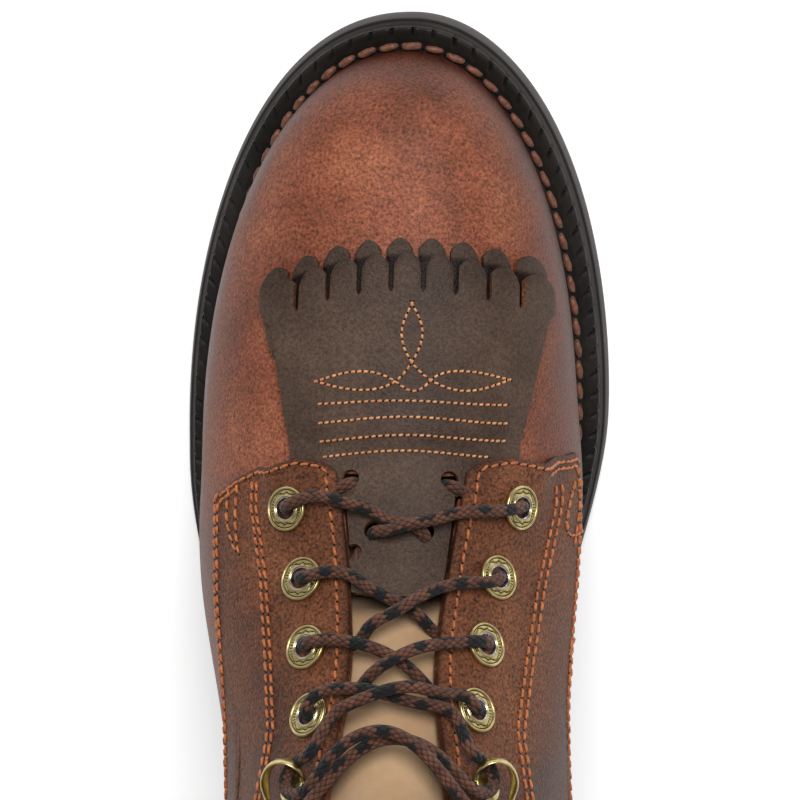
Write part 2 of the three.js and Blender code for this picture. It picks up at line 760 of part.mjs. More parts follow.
// The kiltie's outline from above, with a rounded point to each tooth
const archShare = 0.55;
function kiltieEdge(front, shift) {
  const pitch = 2 * fringeHalf / teeth;
  const bowed = (x) => front - fringeBow * (x / fringeHalf) ** 2;
  const points = [];
  for (let i = 0; i < teeth; i++) {
    const x = (i - (teeth - 1) / 2) * pitch + shift;
    const half = pitch / 2 - slitWidth / 2;
    points.push([x - half, bowed(x - half) - toothDrop], [x - half * archShare, bowed(x) - toothRound]);
    points.push([x, bowed(x)], [x + half * archShare, bowed(x) - toothRound]);
    points.push([x + half, bowed(x + half) - toothDrop]);
    if (i < teeth - 1) points.push([x + pitch / 2, bowed(x + pitch / 2) - toothLength]);
  }
  return points.map(([x, along]) => [kiltieAcross + x, along]);
}

// Each layer is made this much too long and too wide, then cut to its outline
const trimEnd = 3;
const trimSide = 4;
const neckClear = 0.5;
const neckLevel = -1.3;
const neckFall = 11;
const neckLead = 0.5;
const shoulder = 1.5;
const shoulderShare = 0.8;
const layerRise = 8;
const layerLead = 4;
const laceHoleRadius = 2.2;
const kiltieHoles = [[0.106, 0.676], [0.056, 0.6426]]
  .map(([offset, along]) => [offset * ballWidth, along * soleLength]);
function makeKiltieTop() {
  const along = (row, round) => -surface(row, round).y;
  const low = (row, round) => {
    const s = along(row, round);
    const raisedBy = (kiltieThickness + kiltieGap) * ease((s - lowerEnd + layerLead + layerRise) / layerRise);
    return kiltieGap + raisedBy + (neckLevel - kiltieGap) * ease((pocketFront - neckLead - s) / neckFall);
  };
  const high = (row, round) => low(row, round) + kiltieThickness;
  const rows = steps(rowAt(fringeAlong + trimEnd), rowAt(neckEnd - trimEnd), 12);
  const layer = slab(rows, roundsBetween(fringeHalf + trimSide, 10), low, high);
  const neck = (sign) => steps(pocketFront - shoulder, neckEnd, 4).map((s) => {
    const row = rowAt(s);
    return [crownX(row) + sign * (throatHalf(row) - neckClear), s];
  });
  const flank = (sign) => [
    [kiltieAcross + sign * kiltieHalf, facingEdge[3][1]],
    [kiltieAcross + sign * kiltieHalf, pocketFront + shoulder],
    [kiltieAcross + sign * kiltieHalf * shoulderShare, pocketFront],
  ];
  const outlinePoints = [
    ...kiltieEdge(fringeAlong, 0),
    ...flank(1), ...neck(1),
    ...neck(-1).reverse(), ...flank(-1).reverse(),
  ];
  const hole = ([offset, s], sign) => {
    const drill = new THREE.CylinderGeometry(laceHoleRadius, laceHoleRadius, 2 * reach, 8);
    return solidOf(drill.rotateX(Math.PI / 2).translate(crownX(rowAt(s)) + sign * offset, -s, 0));
  };
  const drills = kiltieHoles.flatMap((place) => [hole(place, 1), hole(place, -1)]);
  const cut = layer.intersect(planPrism(outlinePoints));
  return drills.reduce((solid, drill) => solid.subtract(drill), cut);
}

const backSpare = 2;
function makeKiltieUnder() {
  const front = fringeAlong + lowerReach;
  const rows = steps(rowAt(front + trimEnd), rowAt(lowerEnd - trimEnd), 6);
  const layer = slab(rows, roundsBetween(fringeHalf + trimSide, 10), kiltieGap, kiltieGap + kiltieThickness);
  const back = kiltieHalf + backSpare;
  return layer.intersect(planPrism([
    ...kiltieEdge(front, lowerShift),
    [kiltieAcross + back, lowerEnd], [kiltieAcross - back, lowerEnd],
  ]));
}

// Lace: at each level one strand from either side crosses the throat and dips under the other facing
const laceRadius = 1.65;
const laceSides = 8;
const laceSteps = 4;
function strand(points) {
  const shape = new THREE.Shape(steps(0, 2 * Math.PI, laceSides).slice(0, -1).map((a) => (
    new THREE.Vector2(laceRadius * Math.cos(a), laceRadius * Math.sin(a)))));
  const extrudePath = new THREE.CatmullRomCurve3(points);
  return solidOf(new THREE.ExtrudeGeometry(shape, { steps: laceSteps, bevelEnabled: false, extrudePath }));
}
const laceLift = laceRadius + 2 * gap;
const strandClear = 1.2;
const strandDip = 1.05;
const endAhead = 0.12;
const hookAhead = 0.4;
const insideThroat = 0.85;
const hookBack = hookFoot + hookThroat;
const beside = (place, room) => place.offset - Math.sign(place.offset) * (room + laceRadius + gap);
const underFacing = (place) => raised(
  place.row - endAhead,
  roundAt(place.row - endAhead, Math.sign(place.offset) * (throatHalf(place.row) - laceRadius - strandClear)),
  strandDip,
);
const ontoHook = (place) => onFacing(place.row - hookAhead, beside(place, hookBack), laceLift);
const intoKiltie = (sign) => {
  const offset = sign * kiltieHoles[1][0];
  const row = rowFor(kiltieHoles[1][1], offset);
  return raised(row, roundAt(row, offset), kiltieThickness + laceRadius);
};
function makeCrossing(starts, ends, endRow, room) {
  const run = (start, end) => {
    const sign = Math.sign(start.offset);
    const halfway = (start.row + endRow) / 2;
    const onto = (start.row + halfway) / 2;
    return strand([
      onFacing(start.row, beside(start, room), laceLift + seating),
      onFacing(onto, sign * throatHalf(start.row) * insideThroat, laceLift),
      raised(halfway, 0, quarterStep + laceRadius),
      end,
    ]);
  };
  return run(starts[0], ends[1]).add(run(starts[1], ends[0]));
}

// The boot
const looks = {
  rubber: { color: '#3b3a3b', roughness: 0.7, metalness: 0 },
  welt: { color: '#1c1a1b', roughness: 0.6, metalness: 0 },
  vamp: { color: '#6b3a28', roughness: 0.5, metalness: 0 },
  kiltie: { color: '#3b2b22', roughness: 0.6, metalness: 0 },
  nubuck: { color: '#a98a67', roughness: 0.9, metalness: 0 },
  board: { color: '#a88b66', roughness: 0.9, metalness: 0 },
  brass: { color: '#9c8452', roughness: 0.35, metalness: 1 },
  cord: { color: '#3a2420', roughness: 0.85, metalness: 0 },
};
const boot = new THREE.Group();
function add(name, solid, look) {
  const mesh = new THREE.Mesh(geometryFrom(solid), new THREE.MeshStandardMaterial(looks[look]));
  mesh.name = name;
  boot.add(mesh);
}
add('outsole', makeOutsole(), 'rubber');
add('heel', makeHeel(), 'rubber');
add('heel_lift', makeLift(), 'rubber');
add('welt', makeWelt(), 'welt');
add('insole', makeInsole(), 'board');
add('upper', makeUpper(), 'vamp');
add('tongue', makeTongue(), 'nubuck');
add('kiltie_top', makeKiltieTop(), 'kiltie');
add('kiltie_under', makeKiltieUnder(), 'kiltie');
[['left', lateral], ['right', medial]].forEach(([name, places]) => {
  places.eyelets.forEach((place, i) => add(`eyelet_${name}_${i + 1}`, seatOn(place, eyeletShape()), 'brass'));
  places.hooks.forEach((place, i) => add(`hook_${name}_${i + 1}`, seatOn(place, hookShape()), 'brass'));
});
const levels = [...lateral.eyelets, ...lateral.hooks].map((place, i) => (
  [place, [...medial.eyelets, ...medial.hooks][i]]));
levels.slice(1).forEach((level, i) => {
  const hooked = i + 1 >= eyeletOffsets.length;
  const ends = i ? level.map(hooked ? ontoHook : underFacing) : [intoKiltie(1), intoKiltie(-1)];
  const endRow = i ? level[0].row - endAhead : rowAt(kiltieHoles[1][1]);
  const room = i >= eyeletOffsets.length ? hookBack : eyeletRadius;
  add(`lace_${i + 1}`, makeCrossing(levels[i], ends, endRow, room), 'cord');
});

// The origin lies in the middle of the footprint, on the floor
const bounds = new THREE.Box3().setFromObject(boot);
boot.position.set(-(bounds.min.x + bounds.max.x) / 2, -(bounds.min.y + bounds.max.y) / 2, -bounds.min.z);
export default boot;
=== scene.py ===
# %% [markdown]
# A left packer boot: last-shaped leather upper, fringed kiltie, four pairs of eyelets and six of
# hooks, braided lace, a notched welt and a rubber sole. Each piece is laid over one surface, the
# shape of the last, so that leather, stitches and lace all follow the same foot.

# %% Load the frame
import math
import bmesh
import bpy
import numpy as np
from mathutils import Matrix, Vector


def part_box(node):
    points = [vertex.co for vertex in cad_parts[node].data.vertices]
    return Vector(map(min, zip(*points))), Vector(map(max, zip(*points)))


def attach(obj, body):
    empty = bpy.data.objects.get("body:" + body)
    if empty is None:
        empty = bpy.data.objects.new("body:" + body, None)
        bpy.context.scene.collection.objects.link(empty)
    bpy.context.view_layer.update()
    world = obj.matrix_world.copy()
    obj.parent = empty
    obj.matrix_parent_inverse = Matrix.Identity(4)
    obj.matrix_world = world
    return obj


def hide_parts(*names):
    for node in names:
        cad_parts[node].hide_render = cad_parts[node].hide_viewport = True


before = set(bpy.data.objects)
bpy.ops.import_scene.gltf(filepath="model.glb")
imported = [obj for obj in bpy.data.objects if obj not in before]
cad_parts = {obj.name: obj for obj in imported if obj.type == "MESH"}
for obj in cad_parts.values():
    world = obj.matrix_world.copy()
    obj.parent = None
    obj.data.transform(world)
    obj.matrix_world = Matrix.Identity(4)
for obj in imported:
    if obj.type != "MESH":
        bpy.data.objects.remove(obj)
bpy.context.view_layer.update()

# %% [markdown]
# The frame gives the sole's real length and place, and the named sizes below are the boot's own, in
# millimetres. "Along" is measured forwards from the back of the heel, "across" towards the outer side.

# %% Sizes
sole_low, sole_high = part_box("outsole")
SOLE_LENGTH = 1000 * (sole_high.y - sole_low.y)
BALL_WIDTH = 113.6
COLLAR_HEIGHT = 238
HEEL_HEIGHT = 38
HEEL_LENGTH = 78
TOE_SPRING = 11
OUTSOLE = 6.5
WELT = 3.6
LIFT = 6
GAP = 0.3
OUTSOLE_FLARE = 1.3
WELT_STEP = 1.2
WELT_SHOW = 6.4
WELT_SHOW_HEEL = 2.4
WALL = 2
QUARTER = 1.2
KILTIE = 1.5
KILTIE_GAP = 0.5
print("sole", round(SOLE_LENGTH, 1), "mm long")

# %% [markdown]
# Two helpers draw every curve of the boot: a step that starts and ends softly, and a natural cubic
# spline, the line that a thin batten takes when it is bent through a few pins.


# %% Small curves that the whole boot uses
def ease(x):
    q = np.clip(x, 0, 1)
    return q * q * (3 - 2 * q)


def spline(knots, values, flat=False):
    """Natural cubic spline as a function of an array; level ends where flat is true."""
    knots, values = np.array(knots, float), np.array(values, float)
    n = len(knots)
    h = np.diff(knots)
    system = np.eye(n)
    right = np.zeros(n)
    for i in range(1, n - 1):
        system[i, i - 1:i + 2] = [h[i - 1], 2 * (h[i - 1] + h[i]), h[i]]
        right[i] = 6 * ((values[i + 1] - values[i]) / h[i] - (values[i] - values[i - 1]) / h[i - 1])
    if flat:
        system[0, :2] = [2 * h[0], h[0]]
        right[0] = 6 * (values[1] - values[0]) / h[0]
        system[-1, -2:] = [h[-1], 2 * h[-1]]
        right[-1] = -6 * (values[-1] - values[-2]) / h[-1]
    bend = np.linalg.solve(system, right)

    def at(x):
        x = np.asarray(x, float)
        i = np.clip(np.searchsorted(knots, x) - 1, 0, n - 2)
        a = (knots[i + 1] - x) / h[i]
        b = (x - knots[i]) / h[i]
        cubic = (a ** 3 - a) * bend[i] + (b ** 3 - b) * bend[i + 1]
        return a * values[i] + b * values[i + 1] + cubic * h[i] ** 2 / 6
    return at


# %% [markdown]
# The outline of the sole comes first, as on a real last. The outer side is fuller and the inner side
# has the deeper waist. Widths are shares of the ball's width and places are shares of the length, so
# that the table stays true if the boot is made longer or wider.

# %% The sole seen from above
HEEL_CAP = 0.13
TOE_SHIFT = -0.038
HEEL_SHIFT = -0.045
STRAIGHT_BACK = 0.25
TREAD_FRONT, TREAD_BACK, SEAT_FRONT = 0.8, 0.62, 0.27
SHOW_FRONT, SHOW_BACK = 0.5, 0.28
OUTLINE = {
    1: (0.6, 2.2, [[0.13, 0.333], [0.24, 0.336], [0.33, 0.358], [0.42, 0.415], [0.5, 0.478], [0.56, 0.508],
                   [0.6, 0.514]]),
    -1: (0.65, 1.95, [[0.13, 0.325], [0.22, 0.306], [0.3, 0.292], [0.37, 0.306], [0.45, 0.356],
                      [0.53, 0.428], [0.6, 0.476], [0.65, 0.488]]),
}
half_width = {side: spline(*zip(*waist), flat=True) for side, (cap, power, waist) in OUTLINE.items()}


def middle(along):
    """The middle of the outline, which turns inwards to the toe and to the heel."""
    share = along / SOLE_LENGTH
    ball = OUTLINE[1][0]
    front = TOE_SHIFT * ((share - ball) / (1 - ball)) ** 2
    back = HEEL_SHIFT * (1 - ease((share - STRAIGHT_BACK) / (ball - STRAIGHT_BACK)))
    return BALL_WIDTH * np.where(share > ball, front, back)


def edge_of_side(side, along, inset):
    cap, power, _ = OUTLINE[side]
    front, back = cap * SOLE_LENGTH, HEEL_CAP * SOLE_LENGTH
    waist = half_width[side](np.clip(along / SOLE_LENGTH, HEEL_CAP, cap)) * BALL_WIDTH - inset
    q = np.clip((along - front) / (SOLE_LENGTH - inset - front), 0, 1)
    toe = (half_width[side](cap) * BALL_WIDTH - inset) * (1 - q ** power) ** (1 / power)
    q = np.clip((back - along) / (back - inset), 0, 1)
    heel = (half_width[side](HEEL_CAP) * BALL_WIDTH - inset) * np.sqrt(1 - q * q)
    return np.where(along > front, toe, np.where(along < back, heel, waist))


def edge(side, along, inset):
    """Where the outline lies across, drawn in by an inset."""
    along, side = np.asarray(along, float), np.asarray(side)
    width = np.where(side > 0, edge_of_side(1, along, inset), edge_of_side(-1, along, inset))
    return middle(along) + side * width


def underside(along):
    share = along / SOLE_LENGTH
    toe = TOE_SPRING * (np.clip(share - TREAD_FRONT, 0, 1) / (1 - TREAD_FRONT)) ** 2
    seat = HEEL_HEIGHT - OUTSOLE
    return np.where(share > TREAD_FRONT, toe, seat * ease((TREAD_BACK - share) / (TREAD_BACK - SEAT_FRONT)))


def welt_base(along):
    return underside(along) + OUTSOLE + GAP


def feather(along):
    return welt_base(along) + WELT + GAP


def feather_inset(along):
    share = ease((along / SOLE_LENGTH - SHOW_BACK) / (SHOW_FRONT - SHOW_BACK))
    return OUTSOLE_FLARE + WELT_STEP + WELT_SHOW_HEEL + (WELT_SHOW - WELT_SHOW_HEEL) * share


alongs = np.linspace(0, SOLE_LENGTH, 2000)
SHIFT_X = 1000 * sole_high.x - edge(1, alongs, 0).max()
SHIFT_Y = 1000 * sole_high.y
print("outline middle sits at", round(float(SHIFT_X), 2), SHIFT_Y)

# %% [markdown]
# The upper is drawn by sections, like the ribs of a last. Each runs from a point on the crown down to
# the feather line, where leather meets welt, or up the back seam. Splines join the sections, so a
# place on the boot is just two numbers: a row from toe to collar, and a turn round from the inner
# foot point, -1, over the crown, 0, to the outer foot point, 1.

# %% Sections of the last
COLUMNS = ["frontAlong", "frontUp", "footAlong", "footUp", "ridge", "medial", "lateral", "widest", "crown"]
TOE_END = 1 - feather_inset(SOLE_LENGTH) / SOLE_LENGTH
HEEL_END = feather_inset(0) / SOLE_LENGTH
CORNER = 15
LAST_ROW = 19
SECTIONS = np.array([
    [TOE_END, 0, TOE_END, 0, 0, 0, 0, 0.6, 2],
    [0.9695, 0.045, 0.9695, 0, -0.002, 0.002, 0.002, 0.6, 2.05],
    [0.963, 0.087, 0.963, 0, -0.004, 0.005, 0.005, 0.61, 2.1],
    [0.949, 0.128, 0.949, 0, -0.007, 0.008, 0.008, 0.62, 2.12],
    [0.92, 0.17, 0.92, 0, -0.012, 0.01, 0.01, 0.64, 2.15],
    [0.875, 0.207, 0.875, 0, -0.02, 0.011, 0.01, 0.66, 2.15],
    [0.818, 0.241, 0.818, 0, -0.032, 0.01, 0.009, 0.68, 2.1],
    [0.757, 0.274, 0.75, 0, -0.044, 0.01, 0.007, 0.7, 2.05],
    [0.7, 0.308, 0.67, 0, -0.055, 0.013, 0.003, 0.71, 2],
    [0.652, 0.354, 0.58, 0, -0.064, 0.04, 0, 0.71, 2],
    [0.607, 0.41, 0.47, 0, -0.068, 0.085, 0.012, 0.68, 2],
    [0.564, 0.468, 0.35, 0, -0.07, 0.13, 0.022, 0.64, 2],
    [0.525, 0.528, 0.235, 0, -0.071, 0.15, 0.037, 0.6, 2],
    [0.49, 0.593, 0.135, 0, -0.07, 0.157, 0.056, 0.56, 2],
    [0.462, 0.655, 0.055, 0, -0.068, 0.16, 0.076, 0.54, 2],
    [0.442, 0.715, HEEL_END, 0, -0.064, 0.163, 0.096, 0.52, 2],
    [0.428, 0.775, HEEL_END, 0.14, -0.06, 0.166, 0.114, 0.51, 2.05],
    [0.417, 0.84, HEEL_END, 0.33, -0.056, 0.17, 0.128, 0.5, 2.1],
    [0.408, 0.915, HEEL_END, 0.6, -0.052, 0.175, 0.143, 0.5, 2.1],
    [0.4, 1, HEEL_END, 0.97, -0.046, 0.185, 0.16, 0.5, 2.1],
])
rows_all = np.arange(LAST_ROW + 1)
section = {name: spline(rows_all, SECTIONS[:, i]) for i, name in enumerate(COLUMNS)}
foot_before = spline(rows_all[:CORNER + 1], SECTIONS[:CORNER + 1, 2])
foot_after = spline(rows_all[CORNER:], SECTIONS[CORNER:, 3])
section["footAlong"] = lambda row: foot_before(np.minimum(row, CORNER))
section["footUp"] = lambda row: np.maximum(0, foot_after(np.maximum(row, CORNER)))
back_seam = spline([0, 0.08, 0.2, 0.36, 0.6, 1], [HEEL_END, 0.008, 0.014, 0.029, 0.034, 0.018])
CROWN_SHARE = 0.62
COLLAR_ROUND = 58
FLARE_UP = 0.3


def height_at(along, up):
    return feather(along) + up * (COLLAR_HEIGHT - feather(along))


def heel_round(along, height):
    """How the plan rounds in to the back seam, over a length that grows from the heel to the collar."""
    up = np.maximum(0, (height - feather(0)) / (COLLAR_HEIGHT - feather(0)))
    length = HEEL_CAP * SOLE_LENGTH - feather_inset(0)
    span = length + (COLLAR_ROUND - length) * np.minimum(1, up)
    q = np.clip((back_seam(up) * SOLE_LENGTH + span - along) / span, 0, 1)
    return np.sqrt(1 - q * q)


def surface(row, turn):
    """Points of the outer surface, as (across, along, up)."""
    row, turn = np.broadcast_arrays(np.asarray(row, float), np.asarray(turn, float))
    get = {name: section[name](row) for name in COLUMNS}
    side = np.where(turn < 0, -1, 1)
    t = np.abs(turn)
    front_along = get["frontAlong"] * SOLE_LENGTH
    seam_up = get["footUp"]
    foot_along = SOLE_LENGTH * np.where(row <= CORNER, get["footAlong"], back_seam(seam_up))
    front_up = height_at(front_along, get["frontUp"])
    foot_up = height_at(foot_along, seam_up)
    widest = get["widest"]
    widest_along = front_along + (foot_along - front_along) * widest
    bulge = np.where(side > 0, get["lateral"], get["medial"]) * BALL_WIDTH
    wide = edge(side, widest_along, feather_inset(widest_along)) + side * bulge
    angle = np.clip(t / CROWN_SHARE, 0, 1) * math.pi / 2
    power = 2 / get["crown"]
    ridge = middle(front_along) + get["ridge"] * BALL_WIDTH
    down_top = widest * (1 - np.maximum(0, np.cos(angle)) ** power)
    across_top = ridge + (wide - ridge) * np.sin(angle) ** power
    angle = np.clip((t - CROWN_SHARE) / (1 - CROWN_SHARE), 0, 1) * math.pi / 2
    clear = np.maximum(foot_along, HEEL_CAP * SOLE_LENGTH)
    flank = edge(side, clear, feather_inset(foot_along))
    foot = flank + (wide - flank) * ease(seam_up / FLARE_UP)
    down = np.where(t < CROWN_SHARE, down_top, widest + (1 - widest) * np.sin(angle))
    across = np.where(t < CROWN_SHARE, across_top, wide + (foot - wide) * np.sin(angle) ** 2)
    along = front_along + (foot_along - front_along) * down
    up = front_up + (foot_up - front_up) * down
    centre = middle(along)
    return np.stack([centre + (across - centre) * heel_round(along, up), along, up], axis=-1)


def outward(row, turn):
    """Unit vectors out of the surface, level along the feather line."""
    row, turn = np.broadcast_arrays(np.asarray(row, float), np.asarray(turn, float))
    step = 0.01

    def direction(at):
        near = np.minimum(LAST_ROW, row)
        low, high = np.maximum(-1, at - step), np.minimum(1, at + step)
        sideways = surface(row, high) - surface(row, low)
        rise = surface(np.minimum(LAST_ROW, row + step), at) - surface(np.maximum(0.001, near - step), at)
        n = np.cross(rise, sideways)
        return n / np.maximum(1e-9, np.linalg.norm(n, axis=-1, keepdims=True))
    n = direction(turn)
    foot = np.abs(turn) >= 1
    n = np.where((foot & (row >= CORNER))[..., None], (n + direction(-turn)) * [0, 1, 1], n)
    n = np.where((foot & (row <= CORNER))[..., None], n * [1, 1, 0], n)
    n = n / np.maximum(1e-9, np.linalg.norm(n, axis=-1, keepdims=True))
    return np.where((row < 0.02)[..., None], [0, 1, 0], n)


TIP_LIP = 0.5


def raised(row, turn, height):
    """Points at a height over the surface; what lies inside it stays just above the feather line."""
    row, turn, height = np.broadcast_arrays(*(np.asarray(v, float) for v in (row, turn, height)))
    point = surface(row, turn) + outward(row, turn) * height[..., None]
    lip = feather(point[..., 1]) + TIP_LIP * np.minimum(1, row) * (1 - turn * turn)
    point[..., 2] = np.where(height < 0, np.maximum(point[..., 2], lip), point[..., 2])
    return point


def to_frame(points):
    """The boot's (across, along, up) in millimetres to the frame's metres."""
    p = np.asarray(points, float)
    return np.stack([SHIFT_X + p[..., 0], SHIFT_Y - p[..., 1], p[..., 2]], axis=-1) / 1000


print("crown at row 9:", surface(9, 0).round(1))

# %% [markdown]
# The photograph looks down on the toe from the front, from about 0.8 m with a long lens. The camera
# keeps that angle. A pale floor and four large soft lights stand in for a studio sweep.

# %% Camera, floor and lights
PITCH = math.radians(18)
SWING = math.radians(5)
DISTANCE = 800
SENSOR = 36
LENS = 135
AIM = np.array([0, 205, 10])
away = np.array([-math.sin(SWING), math.sin(PITCH) * math.cos(SWING), math.cos(PITCH) * math.cos(SWING)])
eye = Vector(to_frame(AIM + DISTANCE * away))
target = Vector(to_frame(AIM))
back = (eye - target).normalized()
right = Vector((0, -1, 0)).cross(back).normalized()
camera = bpy.data.objects.new("camera", bpy.data.cameras.new("camera"))
camera.matrix_world = Matrix((right, back.cross(right), back)).transposed().to_4x4()
camera.location = eye
camera.data.sensor_width = SENSOR
camera.data.lens = LENS
camera.data.clip_start = 0.01
bpy.context.scene.collection.objects.link(camera)
bpy.context.scene.camera = camera
bpy.context.scene.view_settings.view_transform = "Standard"


def srgb(code):
    """A colour written as sRGB hex, turned to linear."""
    parts = [int(code[i:i + 2], 16) / 255 for i in (1, 3, 5)]
    return [c / 12.92 if c <= 0.04045 else ((c + 0.055) / 1.055) ** 2.4 for c in parts] + [1]


def area_light(name, place, aim, size, power):
    data = bpy.data.lights.new(name, "AREA")
    data.shape = "DISK"
    data.size = size
    data.energy = power
    lamp = bpy.data.objects.new(name, data)
    lamp.location = place
    lamp.rotation_euler = (Vector(aim) - Vector(place)).to_track_quat("-Z", "Y").to_euler()
    bpy.context.scene.collection.objects.link(lamp)


area_light("key", (-0.2, -1.1, 1.45), (0, -0.05, 0.05), 0.8, 26)
area_light("fill_left", (1.3, -0.2, 0.8), (0, 0, 0.08), 1.2, 0.8)
area_light("fill_right", (-1.3, 0.2, 0.8), (0, 0, 0.08), 1.2, 1)
area_light("back", (0.1, 1.4, 1.3), (0, 0, 0.12), 1.2, 4)
world = bpy.data.worlds.new("studio")
world.use_nodes = True
background = world.node_tree.nodes["Background"]
background.inputs["Color"].default_value = srgb("#ffffff")
background.inputs["Strength"].default_value = 0.3
bpy.context.scene.world = world
print("camera at", [round(v, 3) for v in camera.location])

# %% [markdown]
# Every finish is made from a few shader nodes. One helper adds a node with its settings, values,
# links and, for a colour ramp, its stops, so that each material below reads as a short recipe. The
# trees of Geometry Nodes use the same helper.


# %% Material helpers
def node_adder(tree):
    """The function that adds a node to a tree."""
    def add(kind, settings=None, inputs=None, links=None, stops=()):
        node = tree.nodes.new(kind)
        for key, value in (settings or {}).items():
            setattr(node, key, value)
        for key, value in (inputs or {}).items():
            node.inputs[key].default_value = value
        for key, (source, output) in (links or {}).items():
            tree.links.new(source.outputs[output], node.inputs[key])
        if stops:
            elements = node.color_ramp.elements
            while len(elements) < len(stops):
                elements.new(0.5)
            for element, (place, code) in zip(elements, stops):
                element.position = place
                element.color = srgb(code)
        return node
    return add


def new_material(name, base, roughness, metallic=0.0):
    """A material with one shader, and the functions that add a node to it and feed its shader."""
    material = bpy.data.materials.new(name)
    material.use_nodes = True
    tree = material.node_tree
    shader = tree.nodes["Principled BSDF"]
    shader.inputs["Base Color"].default_value = srgb(base)
    shader.inputs["Roughness"].default_value = roughness
    shader.inputs["Metallic"].default_value = metallic

    def feed(key, source, output):
        tree.links.new(source.outputs[output], shader.inputs[key])
    print("finish", name)
    return material, node_adder(tree), feed, shader


def blobs(size_mm, detail=4.0, roughness=0.55):
    """Input values for a noise whose blobs are about size_mm across."""
    return {"Scale": 1000 / size_mm, "Detail": detail, "Roughness": roughness}


# %% [markdown]
# The upper is oiled full-grain leather, also called pull-up: wax in the hide moves when it is bent, so
# tight places turn light and edges stay dark. A wide noise gives the mottling, a fine noise and a cell
# pattern give the grain, and a "shade" attribute on each piece darkens seams and edges and paints
# shade: down the sides, in the corner by the welt and under covering layers. Real grain is finer than
# this. It is drawn coarser here, or the render would lose it.


# %% Leathers
MOTTLE = 26
SCUFF = 9
GRAIN_CELL = 0.9
GRAIN_SPECK = 0.8
PORE = 0.5


def leather(name, dark, base, light, roughness, grain=0.16, coat=0.0, scuff="#8a5136", scuff_share=0.62,
            speckle=0.5):
    material, add, feed, shader = new_material(name, base, roughness)
    coords = add("ShaderNodeTexCoord")
    on_piece = {"Vector": (coords, "Object")}
    mottle = add("ShaderNodeTexNoise", None, blobs(MOTTLE, 6, 0.6), on_piece)
    tone = add("ShaderNodeValToRGB", links={"Fac": (mottle, "Fac")},
               stops=[(0.3, dark), (0.5, base), (0.72, light)])
    fine = add("ShaderNodeTexNoise", None, blobs(GRAIN_SPECK, 4, 0.65), on_piece)
    speck = add("ShaderNodeMapRange", None, {1: 0.32, 2: 0.68, 3: 1 - speckle, 4: 1 + speckle},
                {0: (fine, "Fac")})
    grained = add("ShaderNodeHueSaturation", links={"Value": (speck, 0), "Color": (tone, "Color")})
    worn = add("ShaderNodeTexNoise", None, blobs(SCUFF, 8, 0.75), on_piece)
    patch = add("ShaderNodeMapRange", None, {1: scuff_share, 2: scuff_share + 0.14, 3: 0, 4: 0.75},
                {0: (worn, "Fac")})
    scuffed = add("ShaderNodeMix", {"data_type": "RGBA"}, {7: srgb(scuff)}, {0: (patch, 0), 6: (grained, 0)})
    # Painted shade: the shade attribute multiplies the colour towards near black.
    shade = add("ShaderNodeAttribute", {"attribute_name": "shade"})
    shaded = add("ShaderNodeMix", {"data_type": "RGBA", "blend_type": "MULTIPLY"}, {7: srgb("#5a4038")},
                 {0: (shade, "Fac"), 6: (scuffed, 2)})
    feed("Base Color", shaded, 2)
    gloss = add("ShaderNodeMapRange", None, {1: 0.3, 2: 0.75, 3: roughness - 0.06, 4: roughness + 0.14},
                {0: (mottle, "Fac")})
    feed("Roughness", gloss, 0)
    cells = add("ShaderNodeTexVoronoi", {"feature": "DISTANCE_TO_EDGE"}, {"Scale": 1000 / GRAIN_CELL},
                on_piece)
    pores = add("ShaderNodeTexNoise", None, blobs(PORE, 3), on_piece)
    relief = add("ShaderNodeMath", {"operation": "ADD"}, links={0: (cells, 0), 1: (pores, "Fac")})
    bump = add("ShaderNodeBump", None, {"Strength": grain, "Distance": 0.0004}, {"Height": (relief, 0)})
    feed("Normal", bump, "Normal")
    shader.inputs["Specular IOR Level"].default_value = 0.16
    shader.inputs["Coat Weight"].default_value = coat
    shader.inputs["Coat Roughness"].default_value = 0.4
    return material


vamp_leather = leather("burnished_pull_up_leather", "#6c3c29", "#8b4f38", "#a36547", 0.42, grain=0.5,
                       coat=0.03, scuff="#a8694c", scuff_share=0.64, speckle=0.62)
quarter_leather = leather("waxed_pull_up_leather", "#4b2c1d", "#6b4029", "#825237", 0.5, grain=0.55,
                          scuff="#8c5231", scuff_share=0.58, speckle=0.8)
kiltie_leather = leather("oiled_crazy_horse_leather", "#3b2d25", "#4b3b31", "#5a483c", 0.5, grain=0.4,
                         scuff="#8a4e2c", scuff_share=0.68, speckle=0.4)
raw_edge = leather("raw_leather_edge", "#3a2016", "#70452b", "#a0714e", 0.8, scuff_share=0.55, speckle=0.6)
lining_leather = leather("vegetable_tanned_lining", "#a07a54", "#b28a61", "#c09a72", 0.7, grain=0.1,
                         scuff="#a8815b")

# %% [markdown]
# The tongue is nubuck, hide that is sanded until it has a short nap: it has no gloss, and a sheen
# where the nap catches light. Welt, sole and heel are dark and dull, with a fine moulded or waxed
# texture.


# %% Nubuck, welt and rubber
CLOUD = 18


